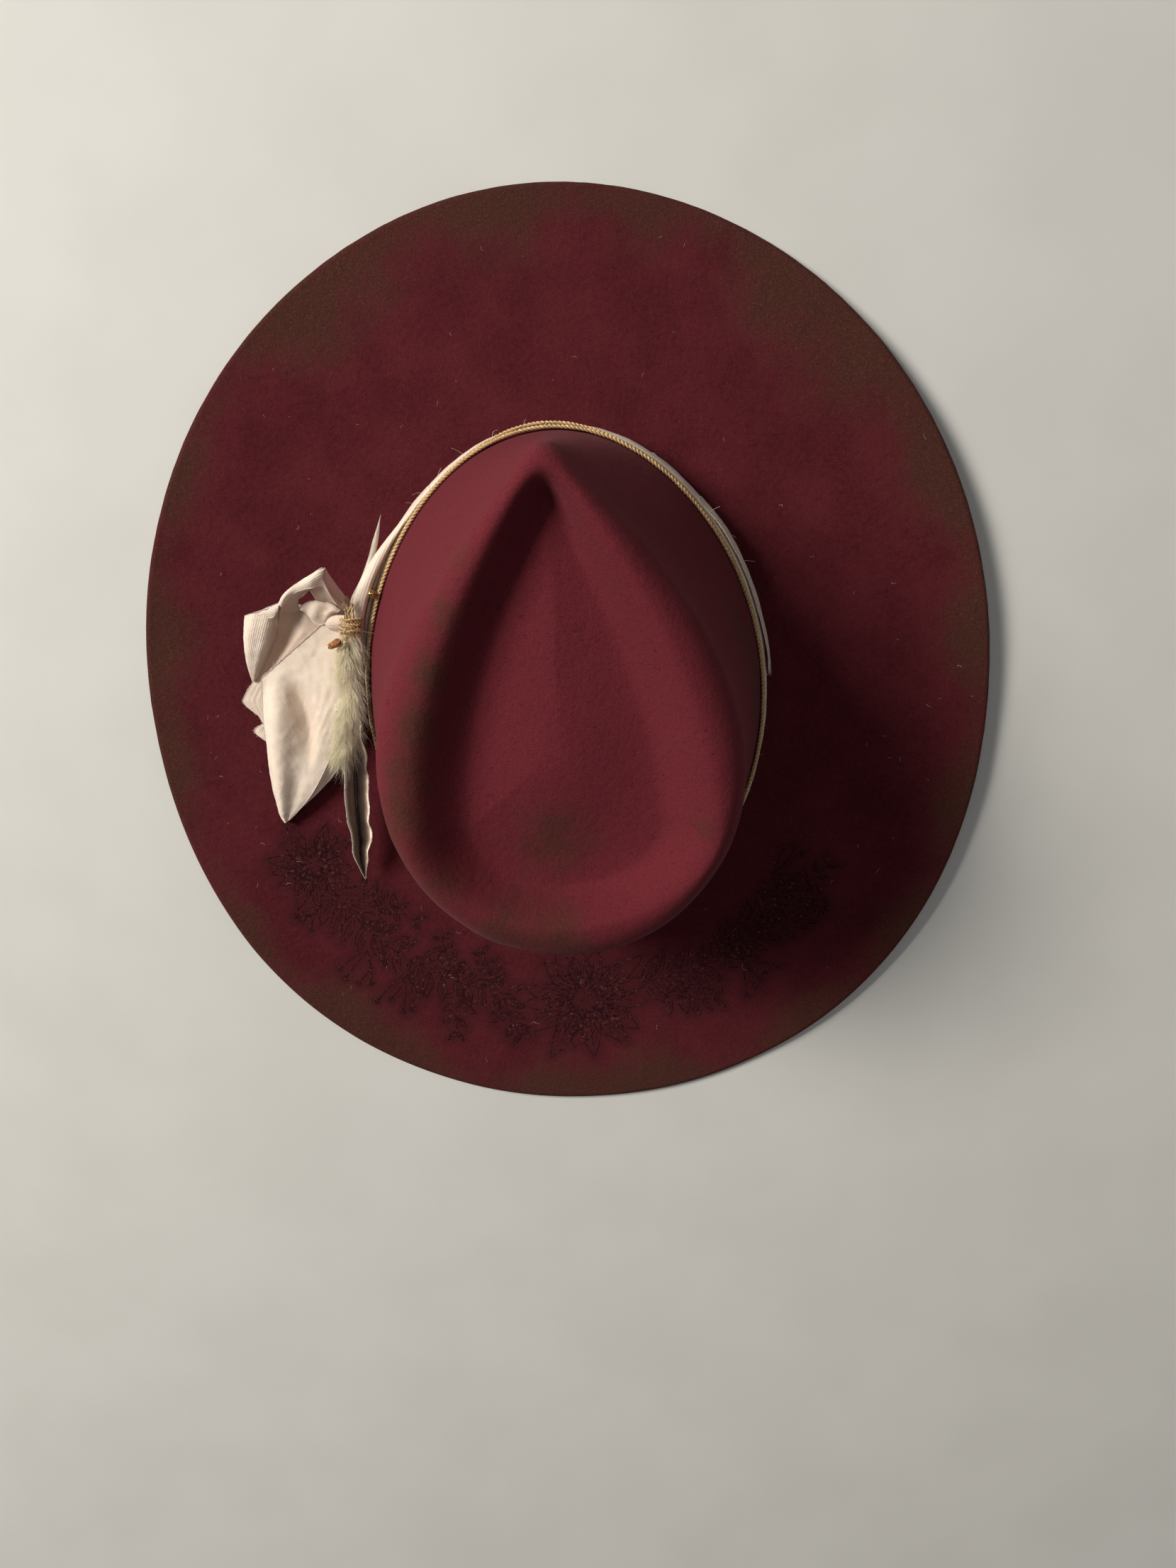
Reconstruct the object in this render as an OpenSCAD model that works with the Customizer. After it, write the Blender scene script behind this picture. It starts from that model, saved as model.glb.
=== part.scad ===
// Felt cowboy hat: teardrop crown, wide nearly flat brim, torn-cloth hatband with
// a bow, twine, a dried grass plume and a feather. Millimetres. The front of the
// hat faces -Y, the wearer's left side is +X, and the brim rests on z = 0.

/* [Brim] */
// Half length of the brim, front to back
brim_half_len = 197; // [185:1:205]
// Half width of the brim, side to side
brim_half_wid = 178; // [170:1:185]
// How far the sides of the brim rise above its front and back
brim_lift = 7; // [0:0.5:10]
// Squareness of the brim's outline behind the crown, where 2 is an ellipse
brim_square = 2.1; // [2:0.05:2.2]

/* [Crown] */
// Thickness of the felt
felt_t = 2.2; // [1.8:0.1:2.4]
// Half length of the crown where it meets the brim
head_half_len = 105; // [103:0.5:107]
// Half width of the crown where it meets the brim
head_half_wid = 82.5; // [81:0.5:84]
// Height of the crown's rim at the sides
rim_h = 110; // [104:1:116]
// How much higher the rim is at the front than at the sides
rim_rake = 4; // [0:0.5:6]
// Depth of the teardrop crease below the rim
crease_depth = 13; // [9:0.5:14]

/* [Sweatband and lining] */
// Height of the sweatband
sweat_h = 42; // [36:1:46]
// Thickness of the sweatband's leather
sweat_t = 0.9; // [0.7:0.1:1.1]
// Number of stitches that hold the sweatband in
stitch_count = 48; // [36:4:56]

/* [Hatband] */
// Height of the cloth band's top edge above the table
band_top = 18.5; // [17:0.5:19]
// Thickness of the folded cloth band
band_t = 1.8; // [1.4:0.1:2]
// Diameter of the twine
twine_d = 1.7; // [1.4:0.1:1.8]
// Diameter of the brass bead
bead_d = 3.6; // [3.2:0.1:4]

/* [Trim] */
// Diameter of the grass plume's head
plume_d = 19; // [16:0.5:20]
// Diameter of the feather's quill at its thick end
quill_d = 3; // [2.4:0.1:3.2]
// Thickness of the bow's cloth, folds included
cloth_t = 1.4; // [1:0.1:1.5]

/* [Hidden] */

break_r = 4;          // radius where the crown turns out into the brim
shoulder_drop = 12;   // height of the round shoulder below the rim
nose_lean = -3;       // the crease's narrow end leans this far to the right
around = 64;          // points in each ring round the crown
gap = 0.3;            // clearance between pieces that lie against each other
base_z = felt_t + break_r;
floor_z = rim_h - 8;  // top of the dome inside the crease

// ---------- small helpers ----------
function mix(a, b, t) = a + (b - a) * t;
function ease(t) = (1 - cos(180 * t)) / 2;
function smooth(a, b, x) = let (t = max(0, min(1, (x - a) / (b - a)))) t * t * (3 - 2 * t);
function unit(v) = v / norm(v);
function bezier(c, t) = c[0] * pow(1 - t, 3) + 3 * c[1] * t * pow(1 - t, 2)
    + 3 * c[2] * t * t * (1 - t) + c[3] * pow(t, 3);
function flatten(rows) = [for (row = rows) each row];

// ---------- the felt's outer surface ----------
// Every ring takes an angle p: 0 is the front, 90 the wearer's left, 180 the back.
function egg(p, front, back, wide, mid, nose) = let (c = cos(p), s = sin(p))
    [wide * s * (c > 0 ? nose + (1 - nose) * s * s : 1), mix(mid, c > 0 ? front : back, abs(c))];
function lean(p) = [nose_lean * pow(max(0, cos(p)), 2), 0];
function crease_ring(p) = egg(p, -76, 58, 33, 33, 0.3) + lean(p);
function rim_ring(p) = egg(p, -90, 72, 55, 33, 0.45) + lean(p);
function shoulder_ring(p) = egg(p, -98, 85, 65.3, 15, 0.35) + lean(p);
function base_ring(p, out = 0) = egg(p, -head_half_len - out, head_half_len + out,
    head_half_wid + out, 0, 1);
function brim_ring(p) = let (c = cos(p), s = sin(p), e = c > 0 ? 2 : brim_square,
    r = pow(pow(abs(c), e) + pow(abs(s), e), -1 / e)) [brim_half_wid * s * r, -brim_half_len * c * r];
function rim_z(p) = rim_h + rim_rake * cos(p);
function crease_z(p) = rim_z(p) - crease_depth;
function shoulder_z(p) = rim_z(p) - shoulder_drop;
function rise(p, t) = brim_lift * smooth(0.35, 1, abs(sin(p))) * pow(t, 1.7);

// One point of the surface. v runs from the dome's middle (0) over the crease (1), the
// rim (2), the shoulder (3), down the wall (4) and round the break (5) to the brim's edge (6).
function felt(p, v) =
    v < 1 ? point(mix([0, 5], crease_ring(p), v), mix(floor_z, crease_z(p), ease(v))) :
    v < 2 ? point(mix(crease_ring(p), rim_ring(p), v - 1), mix(crease_z(p), rim_z(p), ease(v - 1))) :
    v < 3 ? point(mix(rim_ring(p), shoulder_ring(p), sin(90 * (v - 2))),
        mix(shoulder_z(p), rim_z(p), cos(90 * (v - 2)))) :
    v < 4 ? point(mix(shoulder_ring(p), base_ring(p), mix(v - 3, smooth(3, 4, v), 0.5)),
        mix(shoulder_z(p), base_z, v - 3)) :
    v < 5 ? point(base_ring(p, break_r * (1 - cos(90 * (v - 4)))), base_z - break_r * sin(90 * (v - 4))) :
    point(mix(base_ring(p, break_r), brim_ring(p), v - 5), felt_t + rise(p, v - 5));
function point(xy, z) = [xy[0], xy[1], z];
function outward(p, v) = let (w = min(v, 5.98))
    unit(cross(felt(p, w + 0.02) - felt(p, w - 0.02), felt(p + 1, w) - felt(p - 1, w)));
function off_felt(p, v, d) = felt(p, v) + d * outward(p, v);
// The same, by height on the crown's wall.
function wall(p, z, d) = off_felt(p, 3 + (shoulder_z(p) - z) / (shoulder_z(p) - base_z), d);

// ---------- solids from rings of points ----------
function grid_faces(rows, cols, wrap_rows, wrap_cols, first = 0) =
    [for (r = [0 : rows - (wrap_rows ? 1 : 2)], c = [0 : cols - (wrap_cols ? 1 : 2)])
        let (r2 = (r + 1) % rows, c2 = (c + 1) % cols,
            a = first + r * cols + c, b = first + r * cols + c2,
            d = first + r2 * cols + c, e = first + r2 * cols + c2)
        each [[a, e, b], [a, d, e]]];

// A bag: rings between two end points.
module bag(start, rings, end) {
    n = len(rings[0]);
    last = len(rings) * n + 1;
    polyhedron(concat([start], flatten(rings), [end]),
        concat([for (c = [0 : n - 1]) [0, 1 + c, 1 + (c + 1) % n]],
            grid_faces(len(rings), n, false, true, 1),
            [for (c = [0 : n - 1]) [last, last - n + (c + 1) % n, last - n + c]]));
}

// A closed loop of cross-sections, such as a band.
module hoop(sections) {
    polyhedron(flatten(sections), grid_faces(len(sections), len(sections[0]), true, true));
}

// A closed plate between two grids of points that match.
module plate(top, low) {
    m = len(top);
    n = len(top[0]);
    k = m * n;
    rim = concat([for (i = [0 : m - 2]) [i * n, (i + 1) * n]],
        [for (j = [0 : n - 2]) [(m - 1) * n + j, (m - 1) * n + j + 1]],
        [for (i = [m - 1 : -1 : 1]) [i * n + n - 1, (i - 1) * n + n - 1]],
        [for (j = [n - 1 : -1 : 1]) [j, j - 1]]);
    polyhedron(concat(flatten(top), flatten(low)),
        concat([for (f = grid_faces(m, n, false, false)) [f[0], f[2], f[1]]],
            grid_faces(m, n, false, false, k),
            [for (e = rim) each [[e[0], e[1], e[1] + k], [e[0], e[1] + k, e[0] + k]]]));
}

// A sheet of cloth between two edge curves, arched by bulge in its middle.
module sheet(left, right, bulge, t = cloth_t, rows = 14, cols = 10) {
    top = [for (i = [0 : rows]) let (a = bezier(left, i / rows), b = bezier(right, i / rows),
        arch = bulge * mix(1, sin(180 * i / rows), 0.7))
        [for (j = [0 : cols]) mix(a, b, j / cols) + [0, 0, arch * sin(180 * j / cols)]]];
    plate(top, [for (row = top) [for (q = row) q - [0, 0, t]]]);
}

// A tapered tube along a curve of four control points.
module spline_tube(path, r_start, r_end, rows = 20, sides = 8) {
    rings = [for (i = [0 : rows]) let (t = i / rows, q = bezier(path, t),
        d = unit(bezier(path, t + 0.01) - bezier(path, t - 0.01)),
        x = unit(cross([0, 0, 1], d)), y = cross(d, x), r = mix(r_start, r_end, t))
        [for (j = [0 : sides - 1]) q + r * (cos(360 * j / sides) * x + sin(360 * j / sides) * y)]];
    bag(path[0], rings, path[3]);
}

// ---------- the hat ----------
// The felt is one piece; its brim, side and tip are three solids that meet face to face.
TIP_ROWS = [0.3, 0.6, 0.85, 1, 1.15, 1.35, 1.5, 1.65, 1.85, 2, 2.2, 2.45, 2.7];
SIDE_ROWS = [2.7, 2.9, 3.1, 3.3, 3.5, 3.7, 3.85, 4];
BRIM_ROWS = [4, 4.35, 4.7, 5, 5.25, 5.5, 5.75, 5.9, 6];
function rows_reversed(rows) = [for (i = [len(rows) - 1 : -1 : 0]) rows[i]];
function ring_at(v, d) = [for (i = [0 : around - 1]) off_felt(-i * 360 / around, v, d)];

// The side and the brim meet at the foot of the wall (4) in a level face.
function inner_felt(p, v) = let (q = off_felt(p, v, -felt_t)) v == 4 ? [q[0], q[1], base_z] : q;
module felt_hoop(rows) {
    hoop([for (i = [0 : around - 1]) let (p = i * 360 / around)
        concat([for (v = rows_reversed(rows)) inner_felt(p, v)], [for (v = rows) felt(p, v)])]);
}

module felt_brim() {
    color([0.33, 0.07, 0.12]) felt_hoop(BRIM_ROWS);
}

module felt_side() {
    color([0.35, 0.08, 0.13]) felt_hoop(SIDE_ROWS);
}

module felt_tip() {
    color([0.36, 0.09, 0.13])
        bag([0, 5, floor_z],
            concat([for (v = TIP_ROWS) ring_at(v, 0)],
                [for (v = rows_reversed(TIP_ROWS)) ring_at(v, -felt_t)]),
            [0, 5, floor_z - felt_t]);
}

// A sleeve that lines the crown's wall between two heights.
module wall_sleeve(low, high, depth, t, steps = 5) {
    hoop([for (i = [0 : around - 1]) let (p = i * 360 / around)
        concat([for (k = [0 : steps]) sleeve_point(p, mix(low, high, k / steps), -depth - t)],
            [for (k = [steps : -1 : 0]) sleeve_point(p, mix(low, high, k / steps), -depth)])]);
}
// Below the break the sleeve hangs straight down.
function sleeve_point(p, z, d) = let (q = wall(p, max(z, base_z), d)) [q[0], q[1], z];

lining_t = 0.4;
lining_depth = felt_t + 0.7;
sweat_depth = lining_depth + lining_t + 0.25;
sweat_low = 2;
module sweatband() {
    color([0.28, 0.15, 0.09]) wall_sleeve(sweat_low, sweat_h, sweat_depth, sweat_t);
}

// The reed is a cord round the sweatband's lower edge, between leather and felt.
reed_r = 0.5;
module sweatband_reed() {
    color([0.75, 0.68, 0.55]) cord_ring([for (i = [0 : around - 1]) let (p = i * 360 / around,
        q = sleeve_point(p, sweat_low + 1.2, -sweat_depth + reed_r + 0.15)) q], reed_r);
}

// A closed cord of round section through a ring of points.
module cord_ring(path, r, sides = 8) {
    n = len(path);
    hoop([for (i = [0 : n - 1]) let (d = unit(path[(i + 1) % n] - path[(i + n - 1) % n]),
        x = unit(cross([0, 0, 1], d)), y = cross(d, x))
        [for (j = [0 : sides - 1]) path[i] + r * (cos(360 * j / sides) * x + sin(360 * j / sides) * y)]]);
}

// Stitches lie along the leather's inner face, just above its lower edge.
stitch_len = 6;
stitch_r = 0.3;
module sweatband_stitches() {
    color([0.8, 0.7, 0.55])
        for (i = [0 : stitch_count - 1]) {
            p = (i + 0.5) * 360 / stitch_count;
            q = sleeve_point(p, sweat_low + 3, -sweat_depth - sweat_t - stitch_r - 0.5);
            ahead = sleeve_point(p + 1, sweat_low + 3, -sweat_depth)
                - sleeve_point(p - 1, sweat_low + 3, -sweat_depth);
            translate(q) rotate([0, 90, atan2(ahead[1], ahead[0])])
                cylinder(h = stitch_len, r = stitch_r, center = true, $fn = 16);
        }
}

// The small ribbon bow on the sweatband's seam at the back: two loops and a knot.
bow_seam_z = 12;
module sweatband_bow() {
    y = wall(180, bow_seam_z, -sweat_depth - sweat_t)[1] - 2.7;
    color([0.2, 0.1, 0.1]) translate([0, y, bow_seam_z]) {
        rotate([90, 0, 0]) cylinder(h = 2.4, r = 2.6, center = true, $fn = 32);
        for (side = [-1, 1]) translate([side * 2, 0, 0]) rotate([90, 0, 0])
            linear_extrude(1.6, center = true)
                polygon([for (a = [0 : 20 : 340]) let (r = pow(cos(a / 2), 2))
                    [side * (1 + 9 * r), 4.5 * sin(a) * (0.4 + 0.6 * r)]]);
    }
}

lining_top = 88;
module lining_side() {
    color([0.16, 0.1, 0.1]) wall_sleeve(sweat_h - 10, lining_top, lining_depth, lining_t, 7);
}

// The satin disc that closes the lining below the crease.
tip_rise = 3;
function tip_point(p, t, drop) = let (q = wall(p, lining_top, -lining_depth - lining_t - 1.1))
    [q[0] * t, mix(6, q[1], t), lining_top - 2 + tip_rise * (1 - t * t) - drop];
module lining_tip() {
    color([0.2, 0.13, 0.12])
        bag([0, 6, lining_top - 2 + tip_rise],
            [for (k = [[0.3, 0], [0.6, 0], [0.85, 0], [1, 0], [1, 1], [0.85, 1], [0.6, 1], [0.3, 1]])
                [for (i = [0 : 47]) tip_point(-i * 7.5, k[0], k[1] * 0.5)]],
            [0, 6, lining_top - 2.5 + tip_rise]);
}

piping_r = 0.45;
module lining_piping() {
    color([0.3, 0.2, 0.18]) cord_ring([for (i = [0 : 47]) let (p = i * 7.5,
        q = wall(p, lining_top, -lining_depth - lining_t - 0.55))
        [q[0], q[1], lining_top - 2.3]], piping_r, 6);
}

// ---------- the hatband ----------
// The band's front end opens into a loose fold as it reaches the knot on the left.
band_low = base_z + 0.5;
function flare(p) = smooth(44, 68, p) * (1 - smooth(69, 78, p));
module hatband() {
    color([0.86, 0.78, 0.72]) hoop([for (i = [0 : 89]) let (p = i * 4, f = flare(p), h = band_top + 0.5 * f,
        d = gap + band_t)
        [wall(p, mix(band_low, h, 0.5), gap + 1.6 * f), wall(p, h, gap + 4.2 * f), wall(p, h, d + 5.5 * f),
            wall(p, mix(band_low, h, 0.5), d + 0.3 + 4 * f),
            wall(p, band_low, d + 2 * f), wall(p, band_low, gap)]]);
}

// The other end of the torn strip lies over the band on the right and ends in a fray.
overlap_from = -50;
overlap_to = -86;
module hatband_overlap() {
    d = gap + band_t + 0.6;
    t = 1.2;
    function grid(depth) = [for (i = [0 : 10]) let (p = mix(overlap_from, overlap_to, i / 10))
        [for (j = [0 : 4]) wall(p, mix(band_low + 1, band_top - 1, j / 4), depth + 0.2 * sin(45 * j))]];
    color([0.9, 0.83, 0.77]) plate(grid(d + t), grid(d));
}

// Two turns of twine lie against the felt, one above the other, over the band's top edge.
twine_z = band_top + 0.5 + gap + twine_d / 2;
function twine_path(z) = [for (i = [0 : 71]) wall(i * 5, z, gap + twine_d / 2)];
module twine_upper() {
    color([0.72, 0.58, 0.3]) cord_ring(twine_path(twine_z + twine_d + gap), twine_d / 2);
}
module twine_lower() {
    color([0.7, 0.56, 0.28]) cord_ring(twine_path(twine_z), twine_d / 2);
}

// The bead sits on the upper twine, just ahead of the lashing.
bead_at = 64;
module twine_bead() {
    q = wall(bead_at, twine_z + twine_d + gap + 1, gap + twine_d + bead_d / 2 + 0.15);
    color([0.8, 0.62, 0.25]) translate(q) sphere(d = bead_d, $fn = 48);
}

// ---------- the bundle at the knot ----------
bundle = [84.2, -34, 26.3];   // middle of the lashed stems
lash_turns = 4;
lash_r = 4.05;
module twine_lashing() {
    color([0.72, 0.58, 0.3])
        for (i = [0 : lash_turns - 1])
            translate(bundle + [0.25 * (i - 1.5), (i - 1.5) * 1.8, 0]) rotate([90, 0, -8])
                rotate_extrude($fn = 48) translate([lash_r, 0]) circle(d = twine_d, $fn = 20);
}

module bow_knot() {
    color([0.84, 0.74, 0.66]) translate([90, -40.5, 20.6]) rotate([0, 90, -20])
        rotate_extrude($fn = 48)
            polygon([[0, -3.2], [3.4, -3.2], [4.6, -2], [5, 0], [4.6, 2], [3.4, 3.2], [0, 3.2]]);
}

// The ribbon rises from the knot to a peak, turns over and comes down on the left.
module bow_upper_loop() {
    color([0.86, 0.76, 0.69]) {
        sheet([[85.6, -47, 27], [85.4, -51, 32], [86.8, -56, 37], [89.3, -58.4, 40]],
            [[90.5, -46, 26.5], [91.5, -46, 29], [94.7, -48, 32], [97, -50.8, 35]], 1.5, 1.2, 12, 8);
        sheet([[90.2, -58.2, 39.5], [98, -56.6, 38], [107, -46.6, 31], [121.2, -41.5, 24]],
            [[97.9, -50.4, 34.5], [102.8, -47, 31], [109.6, -42, 26], [116.5, -39.8, 22.5]], 1.5, 1.2, 14, 8);
    }
}

// The ribbon runs back to the knot underneath, as one broad face.
module bow_lower_loop() {
    color([0.84, 0.74, 0.66])
        sheet([[127.6, -41.2, 21], [131, -31.5, 19], [133.2, -21.1, 14], [133, -10.5, 10]],
            [[112.5, -38.3, 18], [106.6, -35.5, 17], [101.6, -34.5, 16], [99, -33.5, 15]], 1.5, 1.2, 14, 10);
}

module bow_inner_fold() {
    color([0.85, 0.75, 0.68])
        sheet([[91.6, -43.5, 27.2], [93, -44, 29], [97.5, -44.6, 30], [104.5, -42.3, 26.5]],
            [[94.2, -39.2, 26.2], [96, -39.4, 27], [98.5, -39.8, 26.5], [104.3, -38.6, 22.5]], 1.2, 1, 10, 8);
}

// The long tail starts at a torn slanting edge and hangs to a tip.
module bow_front_tail() {
    color([0.88, 0.79, 0.71])
        sheet([[124.9, -14.7, 19], [130.1, 6.5, 15], [132.8, 36.7, 10], [128.9, 51, 7.5]],
            [[96.2, -34.2, 24], [92.5, -14, 16.4], [94.5, 20, 11.5], [126.5, 49.8, 7.5]], 3, cloth_t, 20, 12);
}

// Two torn ends show from under the long tail.
module bow_rear_tails() {
    color([0.84, 0.74, 0.66]) {
        sheet([[118, -17, 9.2], [126, -14, 9.2], [135, -9, 8.8], [138.7, -2.3, 8.4]],
            [[108, -8, 9.2], [117, -4, 9.2], [126, 2, 8.8], [131.1, 6.2, 8.4]], 0.4, 1.2, 10, 8);
        sheet([[120, 0, 6.8], [126, 4, 6.8], [132, 8, 6.6], [135.6, 11.3, 6.4]],
            [[114, 6, 6.8], [120, 10, 6.8], [127, 13, 6.6], [131.8, 15.1, 6.4]], 0.2, 1, 8, 6);
    }
}

// ---------- the plume, bud and feather ----------
plume_from = [86.4, -27.5, 32];
plume_to = [100, 28, 26];
plume_len = norm(plume_to - plume_from);
function aim(v) = [0, acos(v[2] / norm(v)), atan2(v[1], v[0])];
module plume_head() {
    color([0.93, 0.88, 0.68]) translate(plume_from) rotate(aim(plume_to - plume_from))
        rotate_extrude($fn = 48) polygon(concat([[0, 0]],
            [for (k = [0.02, 0.08, 0.2, 0.4, 0.6, 0.8, 0.93])
                [plume_d / 2 * pow(sin(180 * pow(k, 0.8)), 0.55), k * plume_len]],
            [[0, plume_len]]));
}

module plume_stem() {
    color([0.72, 0.62, 0.4]) spline_tube([bundle + [0.5, -12, 0.5], bundle + [0.5, -6, 1],
        bundle + [0.2, 4.6, -0.4], plume_from + [-0.4, -0.8, -0.6]], 0.6, 0.6, 12);
}

module dried_bud() {
    color([0.45, 0.25, 0.13]) translate([91.6, -31.5, 30.2]) rotate([-64, 0, -60])
        rotate_extrude($fn = 32) polygon([[0, 0], [0.7, 0], [1.7, 1.8], [2, 3.6], [1.2, 5.8], [0, 6.6]]);
}

quill_path = [[70.2, -76, 10], [76, -58, 14], [83.2, -48, 27.2], [84.4, -22, 24.6]];
module feather_quill() {
    color([0.86, 0.8, 0.68]) spline_tube(quill_path, quill_d / 2 * 0.9, quill_d / 2 * 0.6, 20);
}

// The vane curls like a gutter and ends in a point.
module feather_vane() {
    color([0.5, 0.4, 0.32])
        sheet([[88.6, 0, 14.6], [99.4, 26, 15.5], [102.4, 48.5, 14], [94.7, 77.5, 11]],
            [[87.6, 0, 14.4], [85.8, 30, 15.5], [88.8, 53.2, 13.5], [94.1, 77.5, 11]], -2.4, 0.8, 20, 8);
}

felt_brim();
felt_side();
felt_tip();
sweatband();
sweatband_reed();
sweatband_stitches();
sweatband_bow();
lining_side();
lining_tip();
lining_piping();
hatband();
hatband_overlap();
twine_upper();
twine_lower();
twine_bead();
twine_lashing();
bow_knot();
bow_upper_loop();
bow_lower_loop();
bow_inner_fold();
bow_front_tail();
bow_rear_tails();
plume_head();
plume_stem();
dried_bud();
feather_quill();
feather_vane();
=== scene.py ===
"""Looks for the felt cowboy hat: felt, cloth band and bow, twine, plume and feather.

The front of the hat faces -Y, the wearer's left is +X, and the brim lies on z = 0.
Shapes are worked out in millimetres, as in the CAD, and scaled once in make_mesh().
"""
import math

import bpy
import numpy as np
from mathutils import Matrix, Vector, noise
from mathutils.kdtree import KDTree


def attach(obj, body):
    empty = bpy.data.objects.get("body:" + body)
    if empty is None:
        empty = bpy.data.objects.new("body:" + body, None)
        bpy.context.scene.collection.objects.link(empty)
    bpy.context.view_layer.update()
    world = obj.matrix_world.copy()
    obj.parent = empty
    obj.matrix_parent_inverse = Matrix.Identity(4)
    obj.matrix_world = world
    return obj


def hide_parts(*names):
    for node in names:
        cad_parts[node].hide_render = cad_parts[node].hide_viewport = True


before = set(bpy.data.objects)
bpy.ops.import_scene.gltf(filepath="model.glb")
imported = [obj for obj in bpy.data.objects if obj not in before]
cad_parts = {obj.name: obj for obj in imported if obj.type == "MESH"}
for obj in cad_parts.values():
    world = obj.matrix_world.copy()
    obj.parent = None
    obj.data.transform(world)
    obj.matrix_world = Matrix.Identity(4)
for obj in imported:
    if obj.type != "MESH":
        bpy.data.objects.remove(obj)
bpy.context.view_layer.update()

MM = 0.001

# ---------- the hat's driving sizes, in millimetres ----------
BRIM_HALF_LEN = 197
BRIM_HALF_WID = 178
BRIM_LIFT = 7
BRIM_SQUARE = 2.1
FELT_T = 2.2
HEAD_HALF_LEN = 105
HEAD_HALF_WID = 82.5
RIM_H = 110
RIM_RAKE = 4
CREASE_DEPTH = 13
BREAK_R = 4
SHOULDER_DROP = 12
NOSE_LEAN = -3
BASE_Z = FELT_T + BREAK_R
DOME_Z = RIM_H - 8


# ---------- the felt's surface, the same rule as in the CAD ----------
def mix(a, b, t):
    return a + (b - a) * t


def ease(t):
    return (1 - np.cos(np.pi * t)) / 2


def smooth(a, b, x):
    t = np.clip((x - a) / (b - a), 0, 1)
    return t * t * (3 - 2 * t)


def egg(p, front, back, wide, mid, nose):
    """A ring round the crown; nose narrows its front end. p is an angle in degrees, 0 at the front."""
    c, s = np.cos(np.radians(p)), np.sin(np.radians(p))
    x = wide * s * np.where(c > 0, nose + (1 - nose) * s * s, 1)
    y = np.where(c > 0, mix(mid, front, c), mix(mid, back, -c))
    return np.stack([x, y], -1)


def leaning(ring, p):
    ring = ring.copy()
    ring[..., 0] += NOSE_LEAN * np.maximum(0, np.cos(np.radians(p))) ** 2
    return ring


def base_ring(p, out=0.0):
    out = np.asarray(out, float)
    c, s = np.cos(np.radians(p)), np.sin(np.radians(p))
    return np.stack([(HEAD_HALF_WID + out) * s, -(HEAD_HALF_LEN + out) * c], -1)


def brim_ring(p):
    c, s = np.cos(np.radians(p)), np.sin(np.radians(p))
    e = np.where(c > 0, 2.0, BRIM_SQUARE)
    r = (np.abs(c) ** e + np.abs(s) ** e) ** (-1 / e)
    return np.stack([BRIM_HALF_WID * s * r, -BRIM_HALF_LEN * c * r], -1)


def rim_z(p):
    return RIM_H + RIM_RAKE * np.cos(np.radians(p))


def shoulder_z(p):
    return rim_z(p) - SHOULDER_DROP


def rise(p, t):
    return BRIM_LIFT * smooth(0.35, 1, np.abs(np.sin(np.radians(p)))) * np.clip(t, 0, 1) ** 1.7


def felt(p, v):
    """Points of the felt's outer surface.

    v runs dome 0, crease 1, rim 2, shoulder 3, wall 4, break 5, edge 6.
    """
    p, v = np.broadcast_arrays(np.asarray(p, float), np.asarray(v, float))
    crease = leaning(egg(p, -76, 58, 33, 33, 0.3), p)
    rim = leaning(egg(p, -90, 72, 55, 33, 0.45), p)
    shoulder = leaning(egg(p, -98, 85, 65.3, 15, 0.35), p)
    base, foot, edge = base_ring(p), base_ring(p, BREAK_R), brim_ring(p)
    rz, cz, sz = rim_z(p), rim_z(p) - CREASE_DEPTH, shoulder_z(p)
    span = [np.clip(v - k, 0, 1) for k in range(6)]
    t = [s[..., None] for s in span]
    xy = mix(np.array([0.0, 5.0]), crease, t[0])
    xy = np.where(t[1] > 0, mix(crease, rim, t[1]), xy)
    xy = np.where(t[2] > 0, mix(rim, shoulder, np.sin(np.pi / 2 * t[2])), xy)
    xy = np.where(t[3] > 0, mix(shoulder, base, (t[3] + t[3] ** 2 * (3 - 2 * t[3])) / 2), xy)
    xy = np.where(t[4] > 0, mix(base, foot, 1 - np.cos(np.pi / 2 * t[4])), xy)
    xy = np.where(t[5] > 0, mix(foot, edge, t[5]), xy)
    z = mix(DOME_Z, cz, ease(span[0]))
    z = np.where(span[1] > 0, mix(cz, rz, ease(span[1])), z)
    z = np.where(span[2] > 0, mix(sz, rz, np.cos(np.pi / 2 * span[2])), z)
    z = np.where(span[3] > 0, mix(sz, BASE_Z, span[3]), z)
    z = np.where(span[4] > 0, BASE_Z - BREAK_R * np.sin(np.pi / 2 * span[4]), z)
    z = np.where(span[5] > 0, FELT_T + rise(p, span[5]), z)
    return np.concatenate([xy, z[..., None]], -1)


def unit(a):
    return a / np.maximum(np.linalg.norm(a, axis=-1, keepdims=True), 1e-9)


def cross_axes(d):
    """Two directions square to d: a level one, and the one square to both."""
    x = unit(np.cross([0, 0, 1.0], d))
    return x, np.cross(d, x)


def outward(p, v):
    w = np.clip(v, 0.03, 5.97)
    return unit(np.cross(felt(p, w + 0.02) - felt(p, w - 0.02), felt(p + 1, w) - felt(p - 1, w)))


def off_felt(p, v, d):
    d = np.asarray(d, float)
    return felt(p, v) + d[..., None] * outward(p, v)


def wall(p, z, d):
    """A point on the crown's wall at height z, d outside the felt."""
    p, z, d = np.broadcast_arrays(*(np.asarray(a, float) for a in (p, z, d)))
    sz = shoulder_z(p)
    return off_felt(p, 3 + (sz - z) / (sz - BASE_Z), d)


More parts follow.
